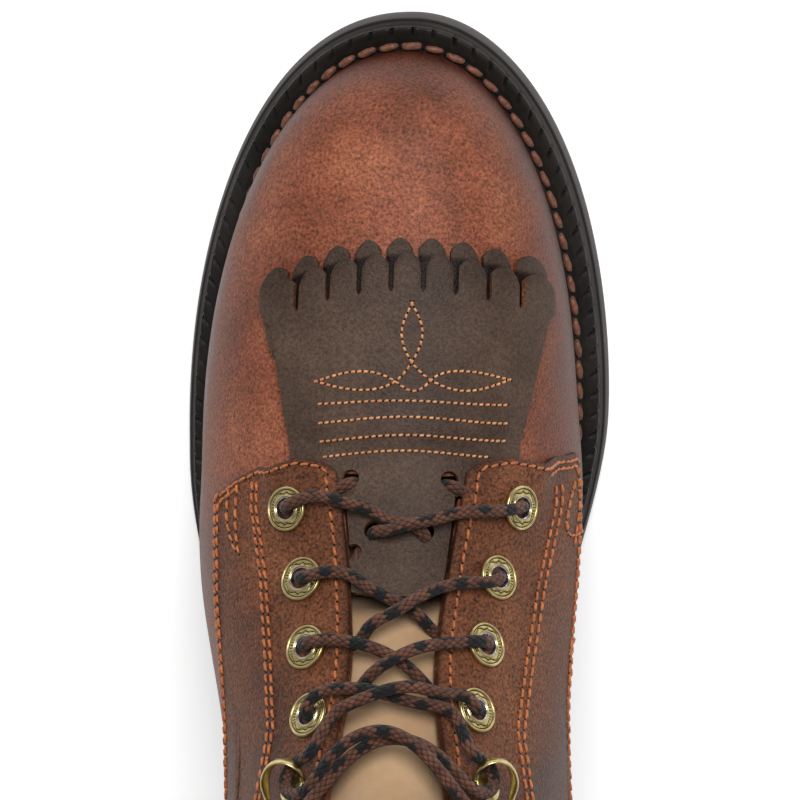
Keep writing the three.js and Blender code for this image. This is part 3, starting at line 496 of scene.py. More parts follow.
def dull(name, base, light, roughness, grain_mm, strength, sheen=0.0):
    material, add, feed, shader = new_material(name, base, roughness)
    coords = add("ShaderNodeTexCoord")
    on_piece = {"Vector": (coords, "Object")}
    wide = add("ShaderNodeTexNoise", None, blobs(CLOUD, 5), on_piece)
    tone = add("ShaderNodeValToRGB", links={"Fac": (wide, "Fac")}, stops=[(0.35, base), (0.7, light)])
    # Painted shade: the shade attribute multiplies the colour towards near black.
    shade = add("ShaderNodeAttribute", {"attribute_name": "shade"})
    shaded = add("ShaderNodeMix", {"data_type": "RGBA", "blend_type": "MULTIPLY"}, {7: srgb("#4a4644")},
                 {0: (shade, "Fac"), 6: (tone, "Color")})
    feed("Base Color", shaded, 2)
    fine = add("ShaderNodeTexNoise", None, blobs(grain_mm, 6, 0.7), on_piece)
    bump = add("ShaderNodeBump", None, {"Strength": strength, "Distance": 0.0003}, {"Height": (fine, "Fac")})
    feed("Normal", bump, "Normal")
    shader.inputs["Specular IOR Level"].default_value = 0.25
    shader.inputs["Sheen Weight"].default_value = sheen
    shader.inputs["Sheen Roughness"].default_value = 0.5
    return material


tongue_nubuck = dull("sanded_nubuck", "#a88462", "#c0a07c", 0.9, 1.0, 1.0, sheen=0.3)
welt_leather = dull("black_waxed_welt", "#15120f", "#26211e", 0.5, 1.5, 0.35)
sole_rubber = dull("moulded_grey_rubber", "#413c3a", "#4d4846", 0.62, 0.8, 0.4)
lift_rubber = dull("black_rubber_lift", "#1d1b1b", "#282626", 0.7, 0.8, 0.4)
insole_leather = dull("insole_board", "#b08a62", "#bf9a72", 0.8, 1.0, 0.2)

# %% [markdown]
# A leather part is a sheet with a real thickness: an outer face, an inner face and cut edges between
# them. One helper closes any grid of points that way, and welds places where the grid meets itself,
# such as the back seam.


# %% Closed sheets
def grid_quads(rows, columns, keep=None):
    index = np.arange(rows * columns).reshape(rows, columns)
    quads = np.stack([index[:-1, :-1], index[:-1, 1:], index[1:, 1:], index[1:, :-1]], -1)
    return quads.reshape(-1, 4) if keep is None else quads[keep]


def place_piece(name, mesh, nodes=()):
    piece = bpy.data.objects.new(name, mesh)
    bpy.context.scene.collection.objects.link(piece)
    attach(piece, "root")
    if nodes:
        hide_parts(*nodes)
    print(name, len(mesh.polygons), "faces")
    return piece


def write(mesh, name, values, kind="FLOAT", key="value"):
    """Stores values on a mesh's points under a name, for a shader or a tree to read."""
    layer = mesh.attributes.new(name, kind, "POINT")
    layer.data.foreach_set(key, np.asarray(values, np.float32).ravel())


def raw_mesh(name, points, faces, materials, shade=None):
    """A mesh from points in the boot's millimetres, with its finishes and its painted shade."""
    mesh = bpy.data.meshes.new(name)
    mesh.from_pydata(to_frame(points).tolist(), [], faces)
    for material in materials:
        mesh.materials.append(material)
    if shade is not None:
        write(mesh, "shade", shade)
    return mesh


def mesh_of(name, points, faces, materials, kinds=None, shade=None):
    """A smooth mesh whose faces point out, with a material number for each face."""
    mesh = raw_mesh(name, points, faces, materials, shade)
    if kinds is not None:
        mesh.polygons.foreach_set("material_index", np.asarray(kinds, np.int32))
    mesh.polygons.foreach_set("use_smooth", np.ones(len(faces), bool))
    shape = bmesh.new()
    shape.from_mesh(mesh)
    bmesh.ops.recalc_face_normals(shape, faces=shape.faces)
    shape.to_mesh(mesh)
    shape.free()
    mesh.update()
    return mesh


def sheet_of(name, top, bottom, quads, materials, shade):
    """A closed sheet between two layers. Materials: outer face, inner face, cut edge."""
    flat, under = top.reshape(-1, 3), bottom.reshape(-1, 3)
    _, first, where = np.unique(np.round(flat, 3), axis=0, return_index=True, return_inverse=True)
    where = where.reshape(-1)
    count = len(first)
    cells = [list(dict.fromkeys(quad)) for quad in where[np.asarray(quads)].tolist()]
    cells = [loop for loop in cells if len(loop) > 2]
    border = {}
    for loop in cells:
        for a, b in zip(loop, loop[1:] + loop[:1]):
            if (b, a) in border:
                del border[(b, a)]
            else:
                border[(a, b)] = True
    inner = [[i + count for i in reversed(loop)] for loop in cells]
    walls = [[b, a, a + count, b + count] for a, b in border]
    kinds = [0] * len(cells) + [1] * len(inner) + [2] * len(walls)
    # The painted shade of each point, the same on both faces.
    point_shade = np.tile(np.broadcast_to(shade, top.shape[:-1]).reshape(-1)[first], 2)
    points = np.concatenate([flat[first], under[first]])
    mesh = mesh_of(name, points, cells + inner + walls, materials, kinds, point_shade)
    sharp = mesh.attributes.new("sharp_edge", "BOOLEAN", "EDGE")
    face_kinds = {}
    for polygon in mesh.polygons:
        for key in polygon.edge_keys:
            face_kinds.setdefault(key, set()).add(polygon.material_index)
    between = [len(face_kinds.get(tuple(sorted(e.vertices)), ())) > 1 for e in mesh.edges]
    sharp.data.foreach_set("value", between)
    return mesh


# %% [markdown]
# The throat, the gap that the lace closes, is measured across from the crown. These helpers turn such
# a place into a row and a turn. They halve an interval again and again, which is slow but never fails.


# %% Finding places on the surface
THROAT_ROW = 8.45
HALVINGS = 22
throat_share = spline([8, 9, 10, 11, 12, 13, 15, 19.5],
                      [0.139, 0.118, 0.102, 0.091, 0.109, 0.13, 0.15, 0.176])


def throat_half(row):
    return throat_share(row) * BALL_WIDTH


def crown_x(row):
    return surface(row, 0)[..., 0]


def turn_at(row, offset):
    row, offset = np.broadcast_arrays(np.asarray(row, float), np.asarray(offset, float))
    low, high = np.zeros(row.shape), np.full(row.shape, CROWN_SHARE)
    side = np.where(offset < 0, -1, 1)
    crown = crown_x(row)
    for _ in range(HALVINGS):
        mid = (low + high) / 2
        short = np.abs(surface(row, side * mid)[..., 0] - crown) < np.abs(offset)
        low, high = np.where(short, mid, low), np.where(short, high, mid)
    return side * low


def row_where(inside, low, high, shape=()):
    """First row for which inside(row) is true."""
    low, high = np.full(shape, float(low)), np.full(shape, float(high))
    for _ in range(HALVINGS):
        mid = (low + high) / 2
        hit = inside(mid)
        low, high = np.where(hit, low, mid), np.where(hit, mid, high)
    return high


def row_for(along, offset):
    return row_where(lambda row: surface(row, turn_at(row, offset))[..., 1] <= along, 1, LAST_ROW,
                     np.shape(np.asarray(along) + np.asarray(offset)))


def at_plan(across, along, height=0.0):
    """Row and turn of points seen from above, for leather at a height over the front of the boot."""
    across, along = np.broadcast_arrays(np.asarray(across, float), np.asarray(along, float))
    leans = np.zeros((*across.shape, 2))
    for _ in range(3):
        row, turn = beneath(across - leans[..., 0], along - leans[..., 1])
        leans = outward(row, turn)[..., :2] * np.asarray(height)[..., None]
    return row, turn


def beneath(across, along):
    """Row and turn of the surface straight below a place, in Newton's steps from the crown."""
    row = np.interp(-along, -surface(np.linspace(1, 14, 200), 0)[:, 1], np.linspace(1, 14, 200))
    turn = np.zeros(row.shape)
    for _ in range(12):
        here = surface(row, turn)[..., :2]
        miss = np.stack([across, along], -1) - here
        by_row = (surface(row + 0.01, turn)[..., :2] - here) / 0.01
        by_turn = (surface(row, turn + 0.004)[..., :2] - here) / 0.004
        det = by_row[..., 0] * by_turn[..., 1] - by_row[..., 1] * by_turn[..., 0]
        det = np.where(np.abs(det) < 1e-6, 1e-6, det)
        row_step = (miss[..., 0] * by_turn[..., 1] - miss[..., 1] * by_turn[..., 0]) / det
        turn_step = (by_row[..., 0] * miss[..., 1] - by_row[..., 1] * miss[..., 0]) / det
        row = np.clip(row + np.clip(row_step, -1, 1), 0.8, 14)
        turn = np.clip(turn + np.clip(turn_step, -0.15, 0.15), -0.8, 0.8)
    return row, turn


print("surface under (20, 240):", np.round(surface(*at_plan(20, 240)), 2))

# %% [markdown]
# Vamp and lining are one shell, 2 mm thick: the outside is burnished leather and the inside is tan
# lining. Its middle is left open behind the throat. The hide is darker where it meets the welt, partly
# the darker edge of the hide and partly painted shade in the corner there, and painted shade darkens
# the sides, where the surface turns down away from the light above.

# %% Vamp and lining
SIDE_SHADE = 0.8
WELT_DARK_AND_SHADE = 0.75
WELT_DARK_AND_SHADE_REACH = 7
shell_rows = np.concatenate([np.linspace(0, 3, 28)[:-1], np.linspace(3, THROAT_ROW, 44)[:-1],
                             np.linspace(THROAT_ROW, LAST_ROW, 84)])
table_rows = np.linspace(THROAT_ROW, LAST_ROW + 0.5, 160)
throat_turns = {side: np.abs(turn_at(table_rows, side * throat_half(table_rows))) for side in (1, -1)}


def throat_turn(side, row):
    return np.interp(np.clip(row, THROAT_ROW, None), table_rows, throat_turns[side])


def painted_side_shade(row, turn):
    """Painted shade down the sides: darker the further the surface turns down from facing up."""
    return SIDE_SHADE * (1 - np.clip(outward(row, turn)[..., 2], 0, 1)) ** 1.3


flank = np.linspace(1, 0, 50)
bridge = np.linspace(-1, 1, 15)[1:-1]
inner_in = throat_turn(-1, shell_rows)[:, None]
outer_in = throat_turn(1, shell_rows)[:, None]
shell_turns = np.concatenate([
    -(inner_in + (1 - inner_in) * flank),
    np.where(bridge < 0, bridge * inner_in, bridge * outer_in),
    outer_in + (1 - outer_in) * flank[::-1],
], axis=1)
shell_grid = np.broadcast_to(shell_rows[:, None], shell_turns.shape)
open_throat = np.zeros((len(shell_rows) - 1, shell_turns.shape[1] - 1), bool)
open_throat[shell_rows[:-1] >= THROAT_ROW - 1e-6, len(flank) - 1:len(flank) + len(bridge)] = True
outer_skin = raised(shell_grid, shell_turns, 0)
# Darker near the welt, partly the hide's edge and partly painted shade, and painted shade down the sides.
rise_of_skin = outer_skin[..., 2] - feather(outer_skin[..., 1])
vamp_shade = np.maximum(WELT_DARK_AND_SHADE * np.exp(-rise_of_skin / WELT_DARK_AND_SHADE_REACH),
                        painted_side_shade(shell_grid, shell_turns))
vamp_sheet = sheet_of("vamp_and_lining", outer_skin, raised(shell_grid, shell_turns, -WALL),
                      grid_quads(*shell_turns.shape, keep=~open_throat),
                      [vamp_leather, lining_leather, raw_edge], vamp_shade)
place_piece("vamp_and_lining", vamp_sheet, ["upper"])

# %% [markdown]
# The quarters carry the facings. They are a second layer of waxed leather over the shell, cut along a
# curved front edge, a side seam and the throat. In front they ride over the kiltie, so the leather
# rises there as over a folded scarf.

# %% Quarters
KILTIE_HALF = 0.2465 * BALL_WIDTH
KILTIE_ACROSS = -0.0634 * BALL_WIDTH
POCKET_FRONT = 0.668 * SOLE_LENGTH
POCKET_BACK = 0.613 * SOLE_LENGTH
POCKET_MARGIN = 2.5
POCKET_SPREAD = 6
POCKET_HEIGHT = 3 * KILTIE_GAP + KILTIE
BITE = 1.2
FACING_EDGE = np.array([[0.114, 0.6645], [0.127, 0.6774], [0.144, 0.6845], [0.172, 0.6877], [0.229, 0.6871],
                        [0.273, 0.68], [0.326, 0.6687], [0.379, 0.6548], [0.423, 0.6371], [1, 0.484]])
SIDE_SEAM = np.array([[1, 0.232, 0.178], [0.645, 0.249, 0.19], [0.6, 0.3, 0.2], [0.535, 0.34, 0.24],
                      [0.468, 0.37, 0.3], [0.371, 0.374, 0.35], [0.194, 0.361, 0.361], [0.065, 0.345, 0.345],
                      [-0.2, 0.336, 0.336]])


def smoothed(x, xs, ys, reach):
    """A line through listed points, with its corners rounded over a reach."""
    order = np.argsort(xs)
    return np.mean([np.interp(x + d, xs[order], ys[order]) for d in np.linspace(-reach, reach, 7)], axis=0)


def facing_along(offset):
    return smoothed(offset, FACING_EDGE[:, 0] * BALL_WIDTH, FACING_EDGE[:, 1] * SOLE_LENGTH, 1.2)


def seam_up(side, along):
    column = 1 if side > 0 else 2
    return smoothed(along, SIDE_SEAM[:, 0] * SOLE_LENGTH, SIDE_SEAM[:, column] * COLLAR_HEIGHT, 7)


def pocket(row, turn):
    point = surface(row, turn)
    offset = np.abs(point[..., 0] - KILTIE_ACROSS)
    forwards = ease((point[..., 1] - POCKET_BACK) / (POCKET_FRONT - POCKET_BACK))
    return forwards * ease((KILTIE_HALF + POCKET_MARGIN + POCKET_SPREAD - offset) / POCKET_SPREAD)


def quarter_top(row, turn):
    return QUARTER + pocket(row, turn) * POCKET_HEIGHT


def quarter_low(row, turn):
    return -BITE + pocket(row, turn) * (POCKET_HEIGHT + BITE)


def inside_quarter(side, turn):
    def inside(row):
        p = raised(row, side * turn, quarter_top(row, side * turn))
        behind = p[..., 1] <= facing_along(np.abs(p[..., 0] - KILTIE_ACROSS))
        return behind & (p[..., 2] >= seam_up(side, p[..., 1]))
    return inside


turn_table = np.linspace(0.1, 1, 400)
first_rows = {side: row_where(inside_quarter(side, turn_table), 7.5, 18, turn_table.shape)
              for side in (1, -1)}


def first_row(side, turn):
    return np.interp(turn, turn_table, first_rows[side])


def quarter_place(side, u, v):
    """Row and turn from two shares: u from the throat to the back seam, v from the cut edge up."""
    u, v = np.broadcast_arrays(u, v)
    row = np.full(u.shape, 12.0)
    for _ in range(12):
        turn = throat_turn(side, row) + (1 - throat_turn(side, row)) * u
        low = first_row(side, turn)
        row = low + (LAST_ROW - low) * v
    return row, turn


fine_edge = [0, 0.0015, 0.004, 0.008, 0.014]
us = np.concatenate([fine_edge, np.linspace(0.02, 1, 96)])
vs = np.concatenate([fine_edge, np.linspace(0.02, 0.994, 100), [0.997, 1]])
EDGE_ROUND = 0.5
EDGE_ROUND_REACH = 1.1
EDGE_DARK = 0.7
EDGE_DARK_REACH = 1.6
QUARTER_SIDE_SHARE = 0.6
for side, name in ((1, "outer_quarter"), (-1, "inner_quarter")):
    row, turn = quarter_place(side, us[None, :], vs[:, None])
    place = (row, side * turn)
    skin = surface(*place)
    from_throat = np.linalg.norm(skin - skin[:, :1], axis=-1)
    from_cut = np.linalg.norm(skin - skin[:1], axis=-1)
    near = np.minimum(from_throat, from_cut)
    drop = EDGE_ROUND * np.clip(1 - near / EDGE_ROUND_REACH, 0, 1) ** 2
    top = raised(*place, quarter_top(*place) - drop)
    bottom = raised(*place, quarter_low(*place))
    # Darker along the cut edges, and painted shade down the sides.
    shade = np.maximum(EDGE_DARK * np.exp(-near / EDGE_DARK_REACH), QUARTER_SIDE_SHARE * painted_side_shade(*place))
    sheet = sheet_of(name, top, bottom, grid_quads(*row.shape), [quarter_leather, lining_leather, raw_edge],
                     shade)
    place_piece(name, sheet, ["upper"])

# %% [markdown]
# The tongue is a padded strip under the throat. It lies deeper than the vamp, so that the lace has
# room, and its middle is puffed up between the facings.

# %% Tongue
TONGUE = 2.6
NECK_END = 0.603 * SOLE_LENGTH
TONGUE_HALF = 33
TONGUE_SINK = 3
PUFF = 2.2
PUFF_HALF = 0.62
RIPPLE = 0.25
tongue_rows = np.linspace(row_for(0.729 * SOLE_LENGTH, 0.0), LAST_ROW + 0.5, 90)[:, None]
tongue_offsets = np.linspace(-1, 1, 41)[None, :]
tongue_turns = np.sign(tongue_offsets) * np.abs(turn_at(tongue_rows, tongue_offsets * TONGUE_HALF))
puff = PUFF * np.clip(1 - (tongue_offsets / PUFF_HALF) ** 2, 0, 1) * ease((tongue_rows - 9.2) / 0.8)
ripple = RIPPLE * np.sin(tongue_rows * 9 + 1.5 * np.sin(3 * tongue_offsets)) * ease((tongue_rows - 9) / 1.5)
tongue_top = -WALL - 0.7 - TONGUE_SINK * ease((tongue_rows - THROAT_ROW + 0.3) / 0.9)
tongue_along = surface(tongue_rows, tongue_turns)[..., 1]
# Painted shadow: the tongue is darkened where it runs under the kiltie's neck and just behind it.
tongue_sheet = sheet_of(
    "tongue_leather", raised(tongue_rows, tongue_turns, tongue_top + puff + ripple),
    raised(tongue_rows, tongue_turns, tongue_top - TONGUE), grid_quads(*tongue_turns.shape),
    [tongue_nubuck, lining_leather, raw_edge], ease((tongue_along - NECK_END + 4.5) / 4))
place_piece("tongue_leather", tongue_sheet, ["tongue"])

# %% [markdown]
# The kiltie is a false tongue with a cut fringe, in two layers. The rule of the fringe is simple: nine
# teeth of one width, each a pointed arch, with a narrow slit between. The lower layer repeats the
# rule a little further forward and sideways, so that its teeth show between the upper ones.

# %% Kiltie
TEETH = 9
FRINGE_ALONG = 0.8435 * SOLE_LENGTH
FRINGE_HALF = 0.3134 * BALL_WIDTH
FRINGE_BOW = 0.0352 * SOLE_LENGTH
TOOTH_LENGTH = 9.2
TOOTH_DROP = 2.5
SLIT = 1.3
LOWER_REACH = 2.8
LOWER_SHIFT = 2.2
LOWER_END = 0.729 * SOLE_LENGTH
LOWER_NARROWS = 4
TOOTH_CURL = 0.25
NECK_CLEAR = 0.6
NECK_LEVEL = -1.3
TOOTH_PITCH = 2 * FRINGE_HALF / TEETH
kiltie_random = np.random.default_rng(7)


def bowed(front, x):
    return front - FRINGE_BOW * (x / FRINGE_HALF) ** 2


def kiltie_low(along):
    """Height of the upper layer's underside: over the lower layer in front, sunk at the neck."""
    raised_by = (KILTIE + KILTIE_GAP) * ease((along - LOWER_END + 12) / 8)
    return KILTIE_GAP + raised_by + (NECK_LEVEL - KILTIE_GAP) * ease((POCKET_FRONT - 0.5 - along) / 11)


def kiltie_mesh(name, front, shift, half_at, centre_at, back, low_at, lifts):
    """One layer of the kiltie, tooth by tooth. Only the lower one is shifted, and painted black with shadow
    under the upper one.
    """
    local = np.linspace(-1, 1, 11)
    body = np.linspace(0, 1, 40)[:, None]
    tooth = np.linspace(0, 1, 12)[1:, None]
    tops, bottoms, shades, quads, start = [], [], [], [], 0
    for i in range(TEETH):
        centre = (i - (TEETH - 1) / 2) * TOOTH_PITCH + shift
        x = centre + local * TOOTH_PITCH / 2
        slit_end = bowed(front, x) - TOOTH_LENGTH
        along_body = back + (slit_end - back) * body
        share = x / FRINGE_HALF
        x_body = centre_at(along_body) + share * half_at(along_body)
        has_slit = (local < 0) & (i > 0) | (local > 0) & (i < TEETH - 1)
        x_tooth = KILTIE_ACROSS + x - local * has_slit * SLIT / 2 * ease(tooth * 7)
        tip = bowed(front, x) - TOOTH_DROP * np.abs(local) ** 1.9
        along_tooth = slit_end + (tip - slit_end) * tooth
        across = np.concatenate([x_body, x_tooth])
        along = np.concatenate([along_body, along_tooth])
        lift = np.concatenate([0 * body, lifts[i] * tooth ** 2]) * np.ones_like(across)
        low = low_at(along) + lift
        row, turn = at_plan(across, along, low + KILTIE)
        curl = TOOTH_CURL * np.concatenate([0 * body, tooth ** 2]) * local ** 2
        rim = np.concatenate([0 * body, 0.3 * (tooth > 0.97)]) + 0.25 * (np.abs(local) > 0.99)
        rim = rim * (np.concatenate([0 * body, tooth]) > 0)
        tops.append(raised(row, turn, low + KILTIE - curl - rim))
        bottoms.append(raised(row, turn, low - curl))
        # Painted shadow: the lower layer goes black wherever the upper layer lies over it. The tips of the
        # teeth are darkened as well.
        inside = np.minimum(bowed(FRINGE_ALONG, across - KILTIE_ACROSS) - along,
                            top_half(along) - np.abs(across - KILTIE_ACROSS))
        shadow_under_top = ease((inside - 0.6) / 1.2) * (shift != 0)
        shades.append(np.maximum(shadow_under_top, 0.4 * np.concatenate([0 * body, tooth ** 6])))
        quads.append(grid_quads(*across.shape) + start)
        start += across.size
    top, bottom = (np.concatenate([part.reshape(-1, 3) for part in layer]) for layer in (tops, bottoms))
    shade = np.concatenate([part.reshape(-1) for part in shades])
    return sheet_of(name, top, bottom, np.concatenate(quads), [kiltie_leather, raw_edge, raw_edge], shade)


plan_rows = np.linspace(7, 13, 120)
plan_alongs = surface(plan_rows, 0)[:, 1]


def neck_row(along):
    return np.interp(-along, -plan_alongs, plan_rows)


def top_half(along):
    neck = throat_half(neck_row(along)) - NECK_CLEAR
    places = [POCKET_FRONT - 1.5, POCKET_FRONT, POCKET_FRONT + 1.5, 0.69 * SOLE_LENGTH, 0.8 * SOLE_LENGTH]
    wide = np.interp(along, places, [0, 0.8 * KILTIE_HALF, KILTIE_HALF, KILTIE_HALF, FRINGE_HALF])
    return np.maximum(neck, wide)


def top_centre(along):
    neck = crown_x(neck_row(along))
    return neck + (KILTIE_ACROSS - neck) * ease((along - POCKET_FRONT + 2) / 3)


def lower_half(along):
    return top_half(along) - LOWER_NARROWS * ease((LOWER_END + 12 - along) / 12)


top_layer = kiltie_mesh("kiltie_top_layer", FRINGE_ALONG, 0, top_half, top_centre, NECK_END, kiltie_low,
                        kiltie_random.uniform(0.1, 0.9, TEETH))
under_layer = kiltie_mesh("kiltie_under_layer", FRINGE_ALONG + LOWER_REACH, LOWER_SHIFT, lower_half,
                          lambda s: KILTIE_ACROSS + 0 * s, LOWER_END, lambda s: KILTIE_GAP + 0 * s,
                          kiltie_random.uniform(0.2, 1.0, TEETH))
kiltie_top = place_piece("kiltie_top_layer", top_layer, ["kiltie_top"])
place_piece("kiltie_under_layer", under_layer, ["kiltie_under"])

# %% [markdown]
# The lace holes are punched through the finished upper layer, as a maker would: a boolean with a
# cylinder along the leather's own normal.

# %% Lace holes in the kiltie
HOLE_RADIUS = 2.2
KILTIE_HOLES = [[0.106, 0.676], [0.056, 0.6426]]
EMPTY_HOLE = [11, 0.627]


def kiltie_point(across, along):
    height = kiltie_low(along) + KILTIE
    row, turn = at_plan(across, along, height)
    return raised(row, turn, height), outward(row, turn)


def hole_places():
    for share, along_share in KILTIE_HOLES:
        along = along_share * SOLE_LENGTH
        for side in (1, -1):
            yield crown_x(neck_row(along)) + side * share * BALL_WIDTH, along
    along = EMPTY_HOLE[1] * SOLE_LENGTH
    yield crown_x(neck_row(along)) + EMPTY_HOLE[0], along


punches = []
for across, along in hole_places():
    point, normal = kiltie_point(across, along)
    shape = bmesh.new()
    bmesh.ops.create_cone(shape, cap_ends=True, segments=24, radius1=HOLE_RADIUS / 1000,
                          radius2=HOLE_RADIUS / 1000, depth=0.012)
    mesh = bpy.data.meshes.new("punch")
    turned = Vector(normal * [1, -1, 1]).to_track_quat("Z", "X").to_matrix().to_4x4()
    shape.transform(Matrix.Translation(Vector(to_frame(point))) @ turned)
    shape.to_mesh(mesh)
    shape.free()
    mesh.materials.append(raw_edge)
    punch = bpy.data.objects.new("punch", mesh)
    bpy.context.scene.collection.objects.link(punch)
    punches.append(punch)
for punch in punches:
    cut = kiltie_top.modifiers.new("cut", "BOOLEAN")
    cut.operation = "DIFFERENCE"
    cut.object = punch
    cut.solver = "EXACT"
bpy.context.view_layer.update()
cut_mesh = bpy.data.meshes.new_from_object(kiltie_top.evaluated_get(bpy.context.evaluated_depsgraph_get()))
kiltie_top.modifiers.clear()
kiltie_top.data = cut_mesh
for punch in punches:
    bpy.data.objects.remove(punch)
print("kiltie with holes", len(cut_mesh.polygons), "faces")

# %% [markdown]
# The sole's pieces all follow one outline. A path round each side is spaced evenly by its length, so
# that notches and stitches keep their pitch round the toe.


# %% Loops round the sole
SHARP_ANGLE = math.radians(40)


def side_path(side, inset, front, count):
    """Even steps along one side of the outline, from a front place back round to the heel."""
    inset_at = inset if callable(inset) else (lambda s: inset + 0 * s)
    ends = [float(inset_at(np.array(0.0))), SOLE_LENGTH - float(inset_at(np.array(SOLE_LENGTH)))]
    end = ends[1] if front is None else front
    dense = ends[0] + (end - ends[0]) * (1 - np.cos(np.linspace(math.pi, 0, 1600))) / 2
    across = edge(side, dense, inset_at(dense))
    length = np.concatenate([[0], np.cumsum(np.hypot(np.diff(across), np.diff(dense)))])
    even = np.linspace(0, length[-1], count)
    return np.stack([np.interp(even, length, across), np.interp(even, length, dense)], -1)


def round_path(inset, count):
    """The whole outline: outer side from toe to heel, then the inner side back to the toe."""
    outer, inner = side_path(1, inset, None, count), side_path(-1, inset, None, count)
    return np.concatenate([outer, inner[-2:0:-1]])


def stacked(loops, closed, floor_of=None, top_of=None):
    """Bands between loops of points; grids close the bottom and top where heights are given."""
    count = len(loops[0])
    points = [np.concatenate(loops)]
    faces = []
    pairs = list(zip(range(len(loops)), range(1, len(loops))))
    if closed:
        pairs.append((len(loops) - 1, 0))
    for a, b in pairs:
        for i in range(count):
            j = (i + 1) % count
            faces.append([a * count + i, a * count + j, b * count + j, b * count + i])
    half = count // 2
    start = len(points[0])
    for loop, height in ((loops[0], floor_of), (loops[-1], top_of)):
        if height is None:
            continue
        outer = loop[:half + 1]
        inner = np.concatenate([loop[:1], loop[:half - 1:-1]])
        share = np.linspace(0, 1, 9)[None, :, None]
        grid = outer[:, None] * (1 - share) + inner[:, None] * share
        grid[:, 1:-1, 2] = height(grid[:, 1:-1, 1])
        points.append(grid.reshape(-1, 3))
        faces += (grid_quads(*grid.shape[:2]) + start).tolist()
        start += grid.shape[0] * grid.shape[1]
    return np.concatenate(points), faces


def merged_mesh(name, points, faces, materials, shade=None):
    """A mesh whose doubled points are joined and whose faces point out."""
    mesh = raw_mesh(name, points, faces, materials, np.zeros(len(points)) if shade is None else shade)
    shape = bmesh.new()
    shape.from_mesh(mesh)
    bmesh.ops.remove_doubles(shape, verts=shape.verts, dist=2e-6)
    bmesh.ops.dissolve_degenerate(shape, edges=shape.edges, dist=1e-7)
    bmesh.ops.recalc_face_normals(shape, faces=shape.faces)
    for joint in shape.edges:
        joint.smooth = len(joint.link_faces) == 2 and joint.calc_face_angle() < SHARP_ANGLE
    for face in shape.faces:
        face.smooth = True
    shape.to_mesh(mesh)
    shape.free()
    return mesh


# %% [markdown]
# The outsole is moulded rubber with a rounded tread edge and a small step below the welt. A profile of
# a few (inset, rise) points goes round the outline, and two flat grids close it.

# %% Outsole
ROUND_COUNT = 300
sole_profile = [(1.0, 0.0), (0.35, 0.25), (0.1, 0.9), (0.25, 3.0), (0.75, 5.2), (1.05, 6.0), (1.35, 6.35),
                (1.9, 6.5)]
loops = []
for inset, rise in sole_profile:
    path = round_path(inset, ROUND_COUNT)
    loops.append(np.column_stack([path, underside(path[:, 1]) + rise]))
points, faces = stacked(loops, False, underside, lambda s: underside(s) + OUTSOLE)
# Painted shade: the top shoulder, where the sole meets the welt, is darkened through the shade attribute.
rim = np.zeros(len(points))
rim[5 * len(loops[0]):7 * len(loops[0])] = 1
outsole_mesh = merged_mesh("moulded_outsole", points, faces, [sole_rubber], rim)
place_piece("moulded_outsole", outsole_mesh, ["outsole"])

# %% [markdown]
# The welt is the strip that joins upper and sole. A notching wheel has pressed a radial groove into
# its edge every few millimetres, and the sewing thread lies in a shallow channel beside the upper.

# %% Welt
NOTCH_PITCH = 5.6
NOTCH_DEPTH = 0.75
NOTCH_WIDTH = 0.5
WELT_INSET = OUTSOLE_FLARE + WELT_STEP
WELT_COUNT = 1400
NOTCH_BITE = 0.45
# Share of the way in to the upper, rise, and how deep the notches go there.
welt_profile = [(0.1, 0.0, 0.1), (0.0, 0.35, 0.4), (-0.02, 1.8, 1), (0.0, 2.9, 1), (0.05, 3.35, 1),
                (0.13, 3.58, 1), (0.26, 3.6, 0.8), (0.42, 3.6, 0.5), (0.55, 3.58, 0), (0.66, 3.3, 0),
                (0.82, 3.2, 0), (0.95, 3.45, 0), (1.31, 3.5, 0), (1.31, 0.2, 0)]


def welt_inset(share):
    return lambda along: WELT_INSET + share * (feather_inset(along) - WELT_INSET)


loops, notch_shade = [], []
for share, rise, notched in welt_profile:
    path = round_path(welt_inset(share), WELT_COUNT // 2 + 1)
    step = np.hypot(*np.diff(path, axis=0, append=path[:1]).T)
    place = np.concatenate([[0], np.cumsum(step)[:-1]]) / step.sum()
    notches = round(step.sum() / NOTCH_PITCH)
    off = np.abs((place * notches + 0.5) % 1 - 0.5) * NOTCH_PITCH
    cut = notched * np.exp(-(off / NOTCH_WIDTH) ** 2)
    inward = np.sign(middle(path[:, 1]) - path[:, 0]) * NOTCH_BITE * cut
    up = welt_base(path[:, 1]) + rise - NOTCH_DEPTH * cut * (rise > 3)
    loops.append(np.column_stack([path[:, 0] + inward, path[:, 1], up]))
    # Painted shade: each notch groove is darkened through the shade attribute as well as cut.
    notch_shade.append(cut)
points, faces = stacked(loops, True)
welt_mesh = merged_mesh("notched_welt", points, faces, [welt_leather], np.concatenate(notch_shade))
place_piece("notched_welt", welt_mesh, ["welt"])

# %% [markdown]
# A packer heel is a low block that stands in a little below the sole, with a slanted front, called the
# breast. Its last layer, the lift, meets the ground. The photograph hides both, so they stay plain.

# %% Heel and lift
HEEL_IN = 1
HEEL_TAPER = 4
BREAST_SLOPE = 5
BREAST_HOLLOW = 3
SEAT = HEEL_HEIGHT - OUTSOLE


def heel_loop(height, draw_in):
    down = (SEAT - height) / SEAT
    inset = HEEL_IN + HEEL_TAPER * down + draw_in
    breast = HEEL_LENGTH - BREAST_SLOPE * down - draw_in
    outer, inner = (side_path(side, inset, breast, 60) for side in (1, -1))
    front = np.linspace(inner[0], outer[0], 21)
    front[:, 1] -= BREAST_HOLLOW * (1 - np.linspace(-1, 1, 21) ** 2)
    ring = np.concatenate([outer, inner[-2::-1], front[1:-1]])
    return np.column_stack([ring, np.full(len(ring), height)])


